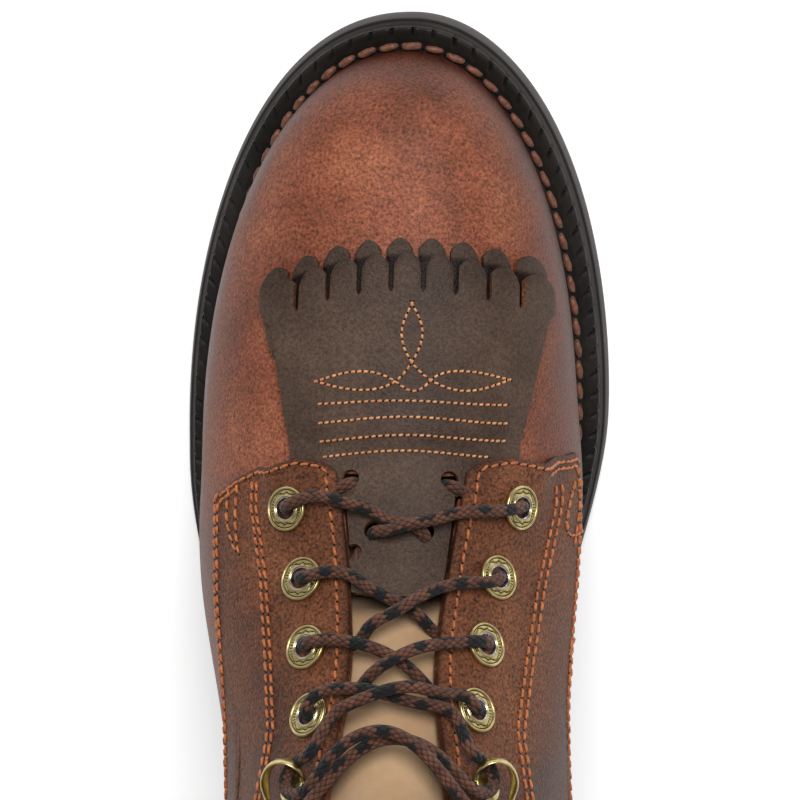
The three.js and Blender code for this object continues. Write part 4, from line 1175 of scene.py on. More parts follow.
def heel_block(name, low, high, material, node):
    profile = [(low, 0.8), (low + 0.25, 0.25), (low + 0.9, 0), (high - 0.9, 0), (high - 0.25, 0.2),
               (high, 0.7)]
    loops = [heel_loop(height, draw_in) for height, draw_in in profile]
    count = len(loops[0])
    points = np.concatenate(loops + [loops[0].mean(0)[None], loops[-1].mean(0)[None]])
    faces = [[a * count + i, a * count + (i + 1) % count, (a + 1) * count + (i + 1) % count,
              (a + 1) * count + i] for a in range(len(loops) - 1) for i in range(count)]
    for start, hub in ((0, len(points) - 2), ((len(loops) - 1) * count, len(points) - 1)):
        faces += [[start + i, start + (i + 1) % count, hub] for i in range(count)]
    place_piece(name, merged_mesh(name, points, faces, [material]), [node])


heel_block("heel_block", LIFT + GAP, SEAT - GAP, sole_rubber, "heel")
heel_block("heel_lift_layer", 0, LIFT, lift_rubber, "heel_lift")

# %% [markdown]
# The insole is a plain leather board. Its solid already has the right shape, so it stays and only gets
# a finish.

# %% Insole
insole_node = bpy.data.objects["insole"]
for slot in insole_node.material_slots:
    slot.material = insole_leather
print("insole slots", len(insole_node.material_slots))

# %% [markdown]
# Stitches repeat along a path, which is work for Geometry Nodes. The tree turns a line into a curve,
# sets a point at every pitch, and lays one stitch there, along the curve and flat on the leather. The
# line carries the leather's own direction in an attribute called "up".


# %% Geometry Nodes: rows of stitches, and single fittings
def new_tree(name, inputs):
    tree = bpy.data.node_groups.new(name, "GeometryNodeTree")
    tree.interface.new_socket("Geometry", in_out="INPUT", socket_type="NodeSocketGeometry")
    names = {}
    for label, kind, value in inputs:
        item = tree.interface.new_socket(label, in_out="INPUT", socket_type=kind)
        if value is not None:
            item.default_value = value
        names[label] = item.identifier
    tree.interface.new_socket("Geometry", in_out="OUTPUT", socket_type="NodeSocketGeometry")
    print("tree", name)
    return tree, names, node_adder(tree)


COMMON = [("Item", "NodeSocketObject", None), ("Finish", "NodeSocketMaterial", None)]


def end_tree(add, start, placed):
    real = add("GeometryNodeRealizeInstances", links={"Geometry": (placed, "Instances")})
    done = add("GeometryNodeSetMaterial", links={"Geometry": (real, 0), "Material": (start, "Finish")})
    add("NodeGroupOutput", links={"Geometry": (done, 0)})


ROW_INPUTS = [*COMMON, ("Pitch", "NodeSocketFloat", 0.003), ("Wobble", "NodeSocketFloat", 0.06),
              ("Seed", "NodeSocketInt", 3)]
row_tree, row_names, add = new_tree("stitch_row", ROW_INPUTS)
start = add("NodeGroupInput")
curve = add("GeometryNodeMeshToCurve", links={"Mesh": (start, "Geometry")})
spaced = add("GeometryNodeResampleCurve", {"mode": "LENGTH"},
             links={"Curve": (curve, 0), "Length": (start, "Pitch")})
tangent = add("GeometryNodeInputTangent")
leather_up = add("GeometryNodeInputNamedAttribute", {"data_type": "FLOAT_VECTOR"}, {"Name": "up"})
first_turn = add("FunctionNodeAlignRotationToVector", {"axis": "X"}, links={"Vector": (tangent, 0)})
full_turn = add("FunctionNodeAlignRotationToVector", {"axis": "Z", "pivot_axis": "X"},
                links={"Rotation": (first_turn, 0), "Vector": (leather_up, 0)})
smaller = add("ShaderNodeMath", {"operation": "SUBTRACT"}, {0: 1.0}, {1: (start, "Wobble")})
larger = add("ShaderNodeMath", {"operation": "ADD"}, {0: 1.0}, {1: (start, "Wobble")})
size = add("FunctionNodeRandomValue", {"data_type": "FLOAT"},
           links={2: (smaller, 0), 3: (larger, 0), "Seed": (start, "Seed")})
item = add("GeometryNodeObjectInfo", {"transform_space": "ORIGINAL"}, links={"Object": (start, "Item")})
placed = add("GeometryNodeInstanceOnPoints", links={"Points": (spaced, 0), "Instance": (item, "Geometry"),
                                                    "Rotation": (full_turn, 0), "Scale": (size, 1)})
end_tree(add, start, placed)

set_tree, set_names, add = new_tree("set_fittings", COMMON)
start = add("NodeGroupInput")
turn_of = add("GeometryNodeInputNamedAttribute", {"data_type": "FLOAT_VECTOR"}, {"Name": "turn"})
as_rotation = add("FunctionNodeEulerToRotation", links={0: (turn_of, 0)})
item = add("GeometryNodeObjectInfo", {"transform_space": "ORIGINAL"}, links={"Object": (start, "Item")})
placed = add("GeometryNodeInstanceOnPoints",
             links={"Points": (start, "Geometry"), "Instance": (item, "Geometry"),
                    "Rotation": (as_rotation, 0)})
end_tree(add, start, placed)


def grown(name, tree, names, base_mesh, settings, nodes=()):
    """Runs a tree on a base mesh and keeps the result as a plain piece."""
    base = bpy.data.objects.new(name, base_mesh)
    bpy.context.scene.collection.objects.link(base)
    maker = base.modifiers.new("maker", "NODES")
    maker.node_group = tree
    for label, value in settings.items():
        maker[names[label]] = value
    bpy.context.view_layer.update()
    made = bpy.data.meshes.new_from_object(base.evaluated_get(bpy.context.evaluated_depsgraph_get()))
    base.modifiers.clear()
    bpy.data.objects.remove(base)
    made.name = name
    made.polygons.foreach_set("use_smooth", np.ones(len(made.polygons), bool))
    return place_piece(name, made, nodes)


def item_of(name, points, faces):
    """A small shape in millimetres for a tree to repeat. It isn't linked to the scene."""
    mesh = bpy.data.meshes.new(name)
    mesh.from_pydata((np.asarray(points, float) / 1000).tolist(), [], faces)
    shape = bmesh.new()
    shape.from_mesh(mesh)
    bmesh.ops.remove_doubles(shape, verts=shape.verts, dist=1e-7)
    bmesh.ops.recalc_face_normals(shape, faces=shape.faces)
    shape.to_mesh(mesh)
    shape.free()
    mesh.polygons.foreach_set("use_smooth", np.ones(len(mesh.polygons), bool))
    return bpy.data.objects.new(name, mesh)


def thread_stitch(name, length, thick, rings, sides, slant=0.0, twist=0.0):
    """One stitch: a short thread that dives into the leather at both ends."""
    points, faces = [], []
    for i, q in enumerate(np.linspace(-1, 1, rings)):
        swell = max(0.05, 1 - abs(q) ** 3.5) ** 0.5
        for k in range(sides):
            a = 2 * math.pi * k / sides
            ply = 1 + twist * math.cos(2 * a - 5 * q)
            r = thick / 2 * swell * ply
            rise = thick * (0.32 - 0.62 * q ** 4)
            points.append([q * length / 2, slant * q + r * math.cos(a), rise + r * math.sin(a)])
            if i < rings - 1:
                at, nxt = i * sides + k, i * sides + (k + 1) % sides
                faces.append([at, nxt, nxt + sides, at + sides])
    faces.append(list(range(sides)))
    faces.append(list(range((rings - 1) * sides, rings * sides)))
    return item_of(name, points, faces)


def line_mesh(name, lines):
    """Polylines of (points, ups) in the boot's millimetres, as one mesh of edges."""
    points, ups, edges, start = [], [], [], 0
    for line, up in lines:
        points.append(to_frame(line))
        ups.append(np.asarray(up, float) * [1, -1, 1])
        edges += [[start + i, start + i + 1] for i in range(len(line) - 1)]
        start += len(line)
    mesh = bpy.data.meshes.new(name)
    mesh.from_pydata(np.concatenate(points).tolist(), edges, [])
    write(mesh, "up", np.concatenate(ups), "FLOAT_VECTOR", "vector")
    return mesh


def sew(name, lines, stitch, thread, pitch, wobble=0.06):
    settings = {"Item": stitch, "Finish": thread, "Pitch": pitch / 1000, "Wobble": wobble, "Seed": 3}
    return grown(name, row_tree, row_names, line_mesh(name, lines), settings)


# %% [markdown]
# Sewing thread is waxed polyester. Its plies are too fine to model one by one: each stitch has a
# little twist in its shape, and a fine noise in the bump stands for the fibres. The needle holes are
# small shapes painted dark with shade, and lie between the stitches.


# %% Threads
def thread(name, base, light):
    material, add, feed, shader = new_material(name, base, 0.55)
    coords = add("ShaderNodeTexCoord")
    on_piece = {"Vector": (coords, "Object")}
    dye = add("ShaderNodeTexNoise", None, blobs(1.1, 4), on_piece)
    tone = add("ShaderNodeValToRGB", links={"Fac": (dye, "Fac")}, stops=[(0.35, base), (0.65, light)])
    feed("Base Color", tone, "Color")
    plies = add("ShaderNodeTexNoise", None, blobs(0.35, 2), on_piece)
    bump = add("ShaderNodeBump", None, {"Strength": 0.5, "Distance": 0.0001}, {"Height": (plies, "Fac")})
    feed("Normal", bump, "Normal")
    shader.inputs["Sheen Weight"].default_value = 0.15
    return material


orange_thread = thread("burnt_orange_thread", "#8a4420", "#c4702f")
copper_thread = thread("copper_thread", "#b06a3c", "#dfa06a")
welt_thread = thread("brown_welt_thread", "#5a3220", "#84503a")
# Painted shade: the needle holes are dark shapes that stand for the shadow in each hole.
needle_hole_shade = dull("needle_hole_shade", "#0d0907", "#150f0c", 0.9, 1.0, 0.1)

# %% [markdown]
# The welt is sewn with a heavy lockstitch that lies in the channel beside the upper, and stops where
# the heel begins. One line on each side carries it.

# %% Welt stitches
WELT_STITCH = 5.8
STITCH_INSET = 1.25
CHANNEL_DEPTH = 0.35
STITCH_FRONT = 0.24 * SOLE_LENGTH
welt_lines = []
for side in (1, -1):
    path = side_path(side, lambda s: feather_inset(s) - STITCH_INSET, None, 700)
    path = path[path[:, 1] > STITCH_FRONT]
    up = welt_base(path[:, 1]) + WELT - CHANNEL_DEPTH
    welt_lines.append((np.column_stack([path, up]), np.broadcast_to([0.0, 0.0, 1.0], (len(path), 3))))
sew("welt_stitches", welt_lines, thread_stitch("welt_stitch", 5.3, 1.75, 11, 8, slant=0.22, twist=0.1),
    welt_thread, WELT_STITCH)
sew("welt_holes", welt_lines, thread_stitch("welt_hole", 1.0, 1.3, 4, 6), needle_hole_shade, WELT_STITCH / 2)

# %% [markdown]
# The kiltie carries the boot's only show stitching, a western leaf pattern: one leaf up, one to each
# side, and four rows below. Each row is a smooth curve through a few points, seen from above.


# %% Kiltie stitching
def smooth_line(points, step):
    """A smooth curve through points, in even steps."""
    points = np.asarray(points, float)
    chord = np.concatenate([[0], np.cumsum(np.linalg.norm(np.diff(points, axis=0), axis=1))])
    dense = np.linspace(0, chord[-1], max(8, int(chord[-1] / (0.25 * step))))
    curve = np.stack([spline(chord, points[:, i])(dense) for i in range(points.shape[1])], -1)
    length = np.concatenate([[0], np.cumsum(np.linalg.norm(np.diff(curve, axis=0), axis=1))])
    even = np.linspace(0, length[-1], max(3, int(length[-1] / step)))
    return np.stack([np.interp(even, length, curve[:, i]) for i in range(points.shape[1])], -1)


KILTIE_STITCH = 1.62
TIP_UP, TIP_OUT, TIP_IN = (-1.4, 249.5), (21.7, 230.5), (-25, 230.3)
CROSS_OUT, CROSS_IN, LEAF_FOOT, LOW_CROSS = (2.1, 231.9), (-6.5, 232.2), (-1.8, 236.3), (-2.6, 229.8)
leaf_lines = [
    [TIP_OUT, (10.3, 233.8), CROSS_OUT, LOW_CROSS, (-5.5, 231.2), CROSS_IN, (-14.8, 233.7), TIP_IN],
    [TIP_OUT, (9.9, 229.6), CROSS_OUT, LEAF_FOOT, (-4.1, 243.1), TIP_UP],
    [TIP_IN, (-14.5, 229.3), CROSS_IN, LEAF_FOOT, (0.9, 243.1), TIP_UP],
    [(20.5, 225.5), (-2.2, 227.6), (-24.3, 224.7)],
    [(20.2, 221.2), (-2.3, 224), (-24.4, 220.4)],
    [(19.8, 216.7), (-2.4, 219.9), (-24, 216)],
    [(18.9, 213.3), (-2.5, 216.1), (-20.1, 213.2)],
]
kiltie_lines = []
for points in leaf_lines:
    plan = smooth_line(points, 0.8)
    kiltie_lines.append(kiltie_point(plan[:, 0] + KILTIE_ACROSS, plan[:, 1]))
sew("kiltie_stitches", kiltie_lines, thread_stitch("kiltie_stitch", 1.3, 0.66, 7, 6, slant=0.08),
    copper_thread, KILTIE_STITCH)


def hole_item(name, radius, ahead):
    """A dimple, dark with painted shade, that lies half a pitch ahead of each stitch."""
    angles = np.linspace(0, 2 * math.pi, 9)[:-1]
    rim = [[ahead + radius * math.cos(a), radius * math.sin(a), -0.1] for a in angles]
    ring = [[ahead + 0.7 * radius * math.cos(a), 0.7 * radius * math.sin(a), 0.05] for a in angles]
    faces = [[i, (i + 1) % 8, 8 + (i + 1) % 8, 8 + i] for i in range(8)]
    faces += [list(range(8, 16)), list(range(8))]
    return item_of(name, rim + ring, faces)


sew("kiltie_holes", kiltie_lines, hole_item("kiltie_hole", 0.34, KILTIE_STITCH / 2), needle_hole_shade,
    KILTIE_STITCH, 0.0)

# %% [markdown]
# On the quarters, single and double rows of orange thread follow the edges. A row at a fixed distance
# from the cut edge is found by halving: the place moves along its line until it lies just that far in.


# %% Facing and seam stitching
FACING_STITCH = 2.9
THROAT_SEAM = 2.5
FRONT_SEAM = 1.5
COLUMN_SEAMS = (9.3, 10.7)
SIDE_SEAMS = (1.6, 3.2)
BACK_SEAMS = (1.8, 3.4)
COLLAR_SEAMS = (0.12, 0.2)
BARTACKS = [(43.6, 198.6, 41.2, 200.4, 41.0, 188), (-39.6, 197.5, -41.2, 195.8, -41.5, 184)]


def on_quarter(row, turn):
    return raised(row, turn, quarter_top(row, turn)), outward(row, turn)


def edge_row(side, distance, u_from, u_to):
    """A line at a distance from the quarter's cut edge, between two shares round."""
    count = 260
    every = np.linspace(0, 1, 900)
    row, turn = quarter_place(side, every, 0 * every)
    rim = surface(row, side * turn)
    u = np.linspace(u_from, u_to, count)
    low, high = np.zeros(count), np.full(count, 0.4)
    for _ in range(16):
        mid = (low + high) / 2
        row, turn = quarter_place(side, u, mid)
        gap_to = np.linalg.norm(surface(row, side * turn)[:, None] - rim[None], axis=-1).min(1)
        low, high = np.where(gap_to < distance, mid, low), np.where(gap_to < distance, high, mid)
    return np.stack([row, side * turn], -1)


def throat_row_line(side, distance, first):
    row = np.linspace(first, LAST_ROW - COLLAR_SEAMS[0], 200)
    return np.stack([row, turn_at(row, side * (throat_half(row) + distance))], -1)


def rounded(line, reach):
    """Rounds the corners of a (row, turn) line."""
    weights = np.hanning(2 * reach + 1)
    padded = np.concatenate([np.repeat(line[:1], reach, 0), line, np.repeat(line[-1:], reach, 0)])
    return np.stack([np.convolve(padded[:, i], weights / weights.sum(), "valid") for i in range(2)], -1)


EYELET_OFFSETS = np.array([0.231, 0.199, 0.179, 0.164]) * BALL_WIDTH
HOOK_OFFSETS = np.array([0.1884, 0.21, 0.226, 0.238, 0.248, 0.257]) * BALL_WIDTH
FIRST_EYELET = 0.6446 * SOLE_LENGTH
EYELET_PITCH = 17.3
HOOK_MARGIN = 16.5


def on_facing(row, offset):
    row, offset = np.asarray(row, float), np.asarray(offset, float)
    return on_quarter(row, turn_at(row, offset))[0]


def next_row(row, offset, pitch):
    start = on_facing(row, offset)
    return float(row_where(lambda r: np.linalg.norm(on_facing(r, offset) - start) >= pitch, row, LAST_ROW))


def fastenings(side):
    first = side * EYELET_OFFSETS[0]
    places = [(float(row_for(FIRST_EYELET, first)), first)]
    for offset in side * EYELET_OFFSETS[1:]:
        places.append((next_row(places[-1][0], offset, EYELET_PITCH), offset))
    row, offset = places[-1]
    left = np.linalg.norm(on_facing(row, offset) - on_facing(LAST_ROW, offset)) - HOOK_MARGIN
    for offset in side * HOOK_OFFSETS:
        places.append((next_row(places[-1][0], offset, left / len(HOOK_OFFSETS)), offset))
    return places


fastening = {side: fastenings(side) for side in (1, -1)}
print("fastening rows", [[round(row, 2) for row, _ in fastening[side]] for side in (1, -1)])

facing_lines = []
for side in (1, -1):
    front = edge_row(side, FRONT_SEAM, 0.30, 0.008)
    front = front[np.abs(surface(*front.T)[:, 0] - crown_x(front[:, 0])) > throat_half(front[:, 0]) + 2.2]
    inner = rounded(np.concatenate([front, throat_row_line(side, THROAT_SEAM, front[-1, 0] + 0.1)]), 6)
    rows, offsets = np.array(fastening[side]).T
    for beyond in COLUMN_SEAMS:
        row = np.linspace(8.75, LAST_ROW - COLLAR_SEAMS[0], 240)
        offset = np.interp(row, rows, offsets) + side * beyond
        facing_lines.append(np.stack([row, turn_at(row, offset)], -1))
    facing_lines.append(inner)
    for distance in SIDE_SEAMS:
        facing_lines.append(edge_row(side, distance, 0.26, 0.995))
    for distance in BACK_SEAMS:
        turn = 1 - 0.006 * distance
        row = np.linspace(float(first_row(side, turn)) + 0.06, LAST_ROW - 0.1, 120)
        facing_lines.append(np.stack([row, np.full(120, side * turn)], -1))
    for drop in COLLAR_SEAMS:
        turn = side * np.linspace(0.3, 1, 160)
        facing_lines.append(np.stack([np.full(160, LAST_ROW - drop), turn], -1))
for outer_x, outer_s, inner_x, inner_s, foot_x, foot_s in BARTACKS:
    for x, s, share in ((outer_x, outer_s, 1), (inner_x, inner_s, 0.97)):
        plan = smooth_line([(x, s), (x * 0.985, foot_s + 3), (foot_x * share, foot_s)], 0.8)
        facing_lines.append(np.stack(at_plan(plan[:, 0] + KILTIE_ACROSS, plan[:, 1]), -1))
facing_lines = [on_quarter(*line.T) for line in facing_lines]
sew("facing_stitches", facing_lines, thread_stitch("facing_stitch", 2.55, 0.74, 8, 6, slant=0.18, twist=0.1),
    orange_thread, FACING_STITCH, 0.1)
sew("facing_holes", facing_lines, hole_item("facing_hole", 0.42, FACING_STITCH / 2), needle_hole_shade,
    FACING_STITCH, 0.0)

# %% [markdown]
# Eyelets and hooks are antique brass: brass that is plated, blackened and rubbed, so that hollows stay
# dark and rims shine. An eyelet is a turned ring with a rolled rim. Its flat band is engraved with
# groups of ticks and a running scroll, cut here into the mesh as a height pattern.


# %% Brass finishes
def antique(name, dark, base, light, roughness):
    material, add, feed, shader = new_material(name, base, roughness, metallic=1.0)
    coords = add("ShaderNodeTexCoord")
    on_piece = {"Vector": (coords, "Object")}
    cloud = add("ShaderNodeTexNoise", None, blobs(2.5, 5), on_piece)
    tone = add("ShaderNodeValToRGB", links={"Fac": (cloud, "Fac")}, stops=[(0.3, base), (0.65, light)])
    shade = add("ShaderNodeAttribute", {"attribute_name": "shade"})
    patina = add("ShaderNodeMix", {"data_type": "RGBA"}, {7: srgb(dark)},
                 {0: (shade, "Fac"), 6: (tone, "Color")})
    feed("Base Color", patina, 2)
    rough = add("ShaderNodeMapRange", None, {3: roughness, 4: 0.75}, {0: (shade, "Fac")})
    feed("Roughness", rough, 0)
    brushed = add("ShaderNodeTexNoise", None, blobs(0.4, 3), on_piece)
    bump = add("ShaderNodeBump", None, {"Strength": 0.25, "Distance": 0.00005}, {"Height": (brushed, "Fac")})
    feed("Normal", bump, "Normal")
    return material


antique_brass = antique("antique_brass", "#120c06", "#a8935c", "#d0c08c", 0.3)
barrel_metal = antique("nickel_barrel", "#2a2a2e", "#b9bbc4", "#dcdde4", 0.22)

# %% [markdown]
# A profile of the ring is turned round its axis, as on a lathe. The profile is drawn 11.8 mm wide, and
# one scale brings it to the 11.1 mm that the ring looks. The nickel barrel inside is turned the same
# way.


# %% Eyelets
RING_SCALE = 0.94
CUT_DEPTH = 0.2


def lathe_item(name, profile, sides, relief=None):
    """A closed ring turned round the out axis, with a height pattern on it where relief is given."""
    angles = np.linspace(0, 2 * math.pi, sides, endpoint=False)
    radius, rise = np.array(profile).T
    r, a = np.meshgrid(radius, angles)
    y = np.tile(rise, (sides, 1))
    cut = relief(r, a) if relief else np.zeros_like(r)
    points = np.stack([RING_SCALE * r * np.cos(a), RING_SCALE * r * np.sin(a), y - cut], -1).reshape(-1, 3)
    count = len(profile)
    faces = [[i * count + j, ((i + 1) % sides) * count + j, ((i + 1) % sides) * count + (j + 1) % count,
              i * count + (j + 1) % count] for i in range(sides) for j in range(count)]
    item = item_of(name, points, faces)
    write(item.data, "shade", np.clip(cut / CUT_DEPTH, 0, 1))
    return item


BAND_IN, BAND_OUT = 3.65, 4.85


def engraving(r, a):
    """Depth of the cut pattern: ticks at two ends, pits beside them, scrolls between, a groove outside."""
    share = (r - BAND_IN) / (BAND_OUT - BAND_IN)
    in_band = (share > -0.01) & (share < 1.01)
    degrees = np.degrees(a)
    from_tick = np.abs((degrees + 90) % 180 - 90)
    tick = np.exp(-(((from_tick + 5.5) % 11 - 5.5) / 2.4) ** 2)
    ticks = tick * (from_tick < 24) * (np.abs(share - 0.5) < 0.36)
    pits = np.exp(-((from_tick - 31) / 3.2) ** 2 - ((share - 0.5) / 0.25) ** 2)
    wave = 0.5 + 0.3 * np.sin(np.radians((from_tick - 36) * 360 / 54))
    scroll = np.exp(-((share - wave) / 0.13) ** 2) * (from_tick > 36)
    curl = np.exp(-(((from_tick - 49.5) % 27 - 13.5) / 3) ** 2 - ((share - 0.5) / 0.18) ** 2)
    curls = curl * (from_tick > 40)
    groove = np.exp(-((r - 4.98) / 0.1) ** 2)
    return CUT_DEPTH * np.clip(in_band * (ticks + pits + scroll + 0.8 * curls), 0, 1) + 0.22 * groove


band = [(r, 1.12 - 0.05 * (r - BAND_IN)) for r in np.linspace(BAND_IN, BAND_OUT, 12)]
eyelet_profile = [(3.0, -2.8), (3.0, 0.9), (3.05, 1.25), (3.2, 1.42), (3.38, 1.44), (3.52, 1.32), *band,
                  (4.92, 1.04), (4.98, 1.02), (5.06, 1.05), (5.16, 1.18), (5.34, 1.28), (5.54, 1.26),
                  (5.72, 1.12), (5.86, 0.85), (5.88, 0.5), (5.78, 0.15), (3.25, 0.12), (3.25, -2.8)]
eyelet_item = lathe_item("eyelet", eyelet_profile, 144, engraving)
barrel_profile = [(1.95, -2), (2.2, -0.8), (2.6, 0.5), (2.8, 1.15), (2.95, 1.3), (3.02, 1.2), (3.02, -2)]
barrel_item = lathe_item("eyelet_barrel", barrel_profile, 48)


def facing_axes(row, offset):
    """Away from the throat, out of the leather, and their cross, in the frame's directions."""
    side = np.sign(offset)
    up = on_facing(row + 0.12, offset) - on_facing(row - 0.12, offset)
    wide = on_facing(row, offset + side * 2) - on_facing(row, offset - side * 2)
    up, wide = (Vector(v * [1, -1, 1]).normalized() for v in (up, wide))
    out = wide.cross(up).normalized() * side
    level = (wide - out * wide.dot(out)).normalized()
    return level, out, up


def set_on(name, places, item, finish, nodes):
    """Sets an item at places: its x points away from the throat and its z out of the leather."""
    points, turns = [], []
    for row, offset in places:
        away_axis, out, _ = facing_axes(row, offset)
        basis = Matrix((away_axis, out.cross(away_axis), out)).transposed()
        turns.append(basis.to_euler())
        points.append(to_frame(on_facing(row, offset)))
    mesh = bpy.data.meshes.new(name)
    mesh.from_pydata([list(p) for p in points], [], [])
    write(mesh, "turn", np.array(turns), "FLOAT_VECTOR", "vector")
    return grown(name, set_tree, set_names, mesh, {"Item": item, "Finish": finish}, nodes)


eyelet_places = fastening[1][:4] + fastening[-1][:4]
eyelet_nodes = [f"eyelet_{side}_{i}" for side in ("left", "right") for i in range(1, 5)]
set_on("engraved_eyelets", eyelet_places, eyelet_item, antique_brass, eyelet_nodes)
set_on("eyelet_barrels", eyelet_places, barrel_item, barrel_metal, eyelet_nodes)

# %% [markdown]
# A lace hook is a strip of brass, stamped and bent into a claw. It rises beside the throat, arches over
# the lace and comes down to a point on the outer side. The strip is swept along its bend, and its
# section is a little crowned, so that light runs along the middle.

# %% Lace hooks
HOOK_BEND = [(1.5, 0.3, -0.5), (-1.6, 0.5, -0.9), (-3.6, 1.2, -1.6), (-4.4, 3.2, -2.6), (-3.6, 5.3, -3.4),
             (-1.4, 6.6, -3.4), (1.2, 6.8, -2.4), (3.2, 6.1, -0.6), (4.3, 4.7, 1.4), (4.8, 3.2, 3.4),
             (5.0, 2.2, 5.0)]
HOOK_WIDTHS = [5.4, 5.4, 5.2, 4.8, 4.6, 4.8, 5.0, 4.6, 3.4, 1.9, 0.6]
HOOK_CENTRE = np.array([1.0, 2.6, 2.2])
HOOK_FOOT = [(3.9, 0.05), (3.9, 0.35), (3.5, 0.62), (1.6, 0.7), (1.3, 1.0), (0.7, 1.15), (0.05, 1.2)]
CLAW_SIDES = 14
FOOT_SIDES = 24


def claw_item(name, mirror):
    bend = smooth_line(np.column_stack([HOOK_BEND, HOOK_WIDTHS]), 0.35)
    centre, width = bend[:, :3], bend[:, 3]
    tangent = np.gradient(centre, axis=0)
    tangent /= np.linalg.norm(tangent, axis=1, keepdims=True)
    facing = centre - HOOK_CENTRE
    facing -= tangent * (facing * tangent).sum(1, keepdims=True)
    facing /= np.linalg.norm(facing, axis=1, keepdims=True)
    across = np.cross(tangent, facing)
    points, faces = [], []
    for i in range(len(centre)):
        for k in range(CLAW_SIDES):
            a = 2 * math.pi * k / CLAW_SIDES
            x = width[i] / 2 * np.sign(math.cos(a)) * abs(math.cos(a)) ** 0.75
            crown = 0.5 + 0.35 * (1 - (2 * x / width[i]) ** 2)
            upper = math.sin(a) > 0
            y = crown * np.sign(math.sin(a)) * abs(math.sin(a)) ** 0.8 if upper else 0.4 * math.sin(a)
            p = centre[i] + across[i] * x + facing[i] * y
            points.append([p[0], mirror * p[2], p[1]])
            if i < len(centre) - 1:
                at, nxt = i * CLAW_SIDES + k, i * CLAW_SIDES + (k + 1) % CLAW_SIDES
                faces.append([at, nxt, nxt + CLAW_SIDES, at + CLAW_SIDES])
    faces += [list(range(CLAW_SIDES)), list(range((len(centre) - 1) * CLAW_SIDES, len(centre) * CLAW_SIDES))]
    start, last = len(points), len(HOOK_FOOT) - 1
    for radius, rise in HOOK_FOOT:
        for k in range(FOOT_SIDES):
            a = 2 * math.pi * k / FOOT_SIDES
            points.append([0.6 + radius * math.cos(a), radius * math.sin(a), rise])
    for low in range(start, start + last * FOOT_SIDES, FOOT_SIDES):
        for k in range(FOOT_SIDES):
            nxt = (k + 1) % FOOT_SIDES
            faces.append([low + k, low + nxt, low + FOOT_SIDES + nxt, low + FOOT_SIDES + k])
    faces += [list(range(start, start + FOOT_SIDES)), list(range(start + last * FOOT_SIDES, len(points)))]
    item = item_of(name, points, faces)
    write(item.data, "shade", np.zeros(len(item.data.vertices)))
    return item


for side, name, label in ((1, "outer_hooks", "left"), (-1, "inner_hooks", "right")):
    set_on(name, fastening[side][4:], claw_item(name + "_item", side), antique_brass,
           [f"hook_{label}_{i}" for i in range(1, 1 + len(HOOK_OFFSETS))])

# %% [markdown]
# The lace is one round braided cord. Its route is a list of places: out of an eyelet, over the
# throat, under the other facing and up through the next eyelet, and from the fifth pair on round the
# hooks. Each place is a row, an offset across from the crown, and a height over the surface.

# %% The lace's route
LACE_RADIUS = 1.48
CROSSINGS = {
    (0, 1): [(9.03, 24.7, 6.5), (8.9, 18.4, 7), (8.96, 12.2, 6.5), (9.04, 5.9, 4.5), (9.15, 2.3, 4.0),
             (9.19, -2.8, 3.2)],
    (0, -1): [(8.98, -23.6, 6.5), (9.04, -16.2, 7), (9.07, -11.8, 6.5), (9.16, -7.4, 5.9), (9.25, -2, 6),
              (9.31, 2.5, 4.6)],
    (1, 1): [(9.94, 20.5, 4.8), (9.9, 16.8, 5.0), (9.91, 10.4, 4.0), (10.06, 5.8, 3.0), (10.22, -0.5, 1.8),
             (10.35, -5.7, 0.4)],
    (1, -1): [(9.87, -20.5, 4.8), (9.93, -16, 4.8), (10.0, -11.2, 4.6), (10.18, -5.6, 5.0),
              (10.41, -0.8, 5.4), (10.57, 5.1, 3.0)],
    (2, 1): [(10.77, 18.5, 4.6), (10.76, 14.5, 4.8), (10.78, 10.7, 4.2), (10.83, 5.8, 3.0), (10.93, 0.8, 2.2),
             (11.08, -4.2, 1.0)],
    (2, -1): [(10.64, -18.5, 4.6), (10.7, -14.5, 4.8), (10.77, -10.6, 4.6), (10.86, -6.4, 5.0),
              (11.05, -1.2, 5.6), (11.2, 3.4, 3.6)],
    (3, 1): [(11.56, 16.8, 4.8), (11.48, 14.9, 5), (11.43, 9.9, 4.4), (11.45, 5.1, 4), (11.52, 0.3, 3.6),
             (11.6, -6.5, 3.6), (11.66, -12.5, 4.2)],
    (3, -1): [(11.5, -16.8, 4.8), (11.44, -15.5, 5), (11.44, -11.2, 4.8), (11.47, -4.1, 6.6),
              (11.56, 0.6, 7.2), (11.66, 5.6, 6.2), (11.79, 10.4, 5.4)],
}
START = [(8.62, 0, -2.4), (8.6, 7.5, -2.2), (8.58, 10.2, -0.6), (8.6, 11.4, 1.6), (8.66, 13.0, 2.6),
         (8.8, 17, 1.6), (8.93, 23, -1.2)]
HOLE_B = [(9.28, 5.8, 1.6), (9.31, 6.8, -1.2), (9.4, 9.5, -3.3)]
BORE = [(-3.6, 1.02), (-0.5, 1.0), (1.6, 0.99)]
HOOK_TURN = [(-9.0, 3.6, -4.6), (-4.8, 3.0, -4.4), (-1.5, 2.9, -2.9), (-0.2, 2.9, 0.0), (-1.5, 2.9, 2.9),
             (-4.8, 3.0, 4.4), (-9.0, 3.6, 4.6)]
# Between hooks a crossing bows towards the toe, by less at each pair, and one lies over the other.
ARC_LEAD = 0.75
ARC_FADE = 0.55
ARC_HEIGHT = 4.6
ARC_OVER = {1: 4.6, -1: 0.8}
LACE_STEP = 0.45


def place_at(row, offset, lift):
    row, offset = np.asarray(float(row)), np.asarray(float(offset))
    return raised(row, turn_at(row, offset), lift)


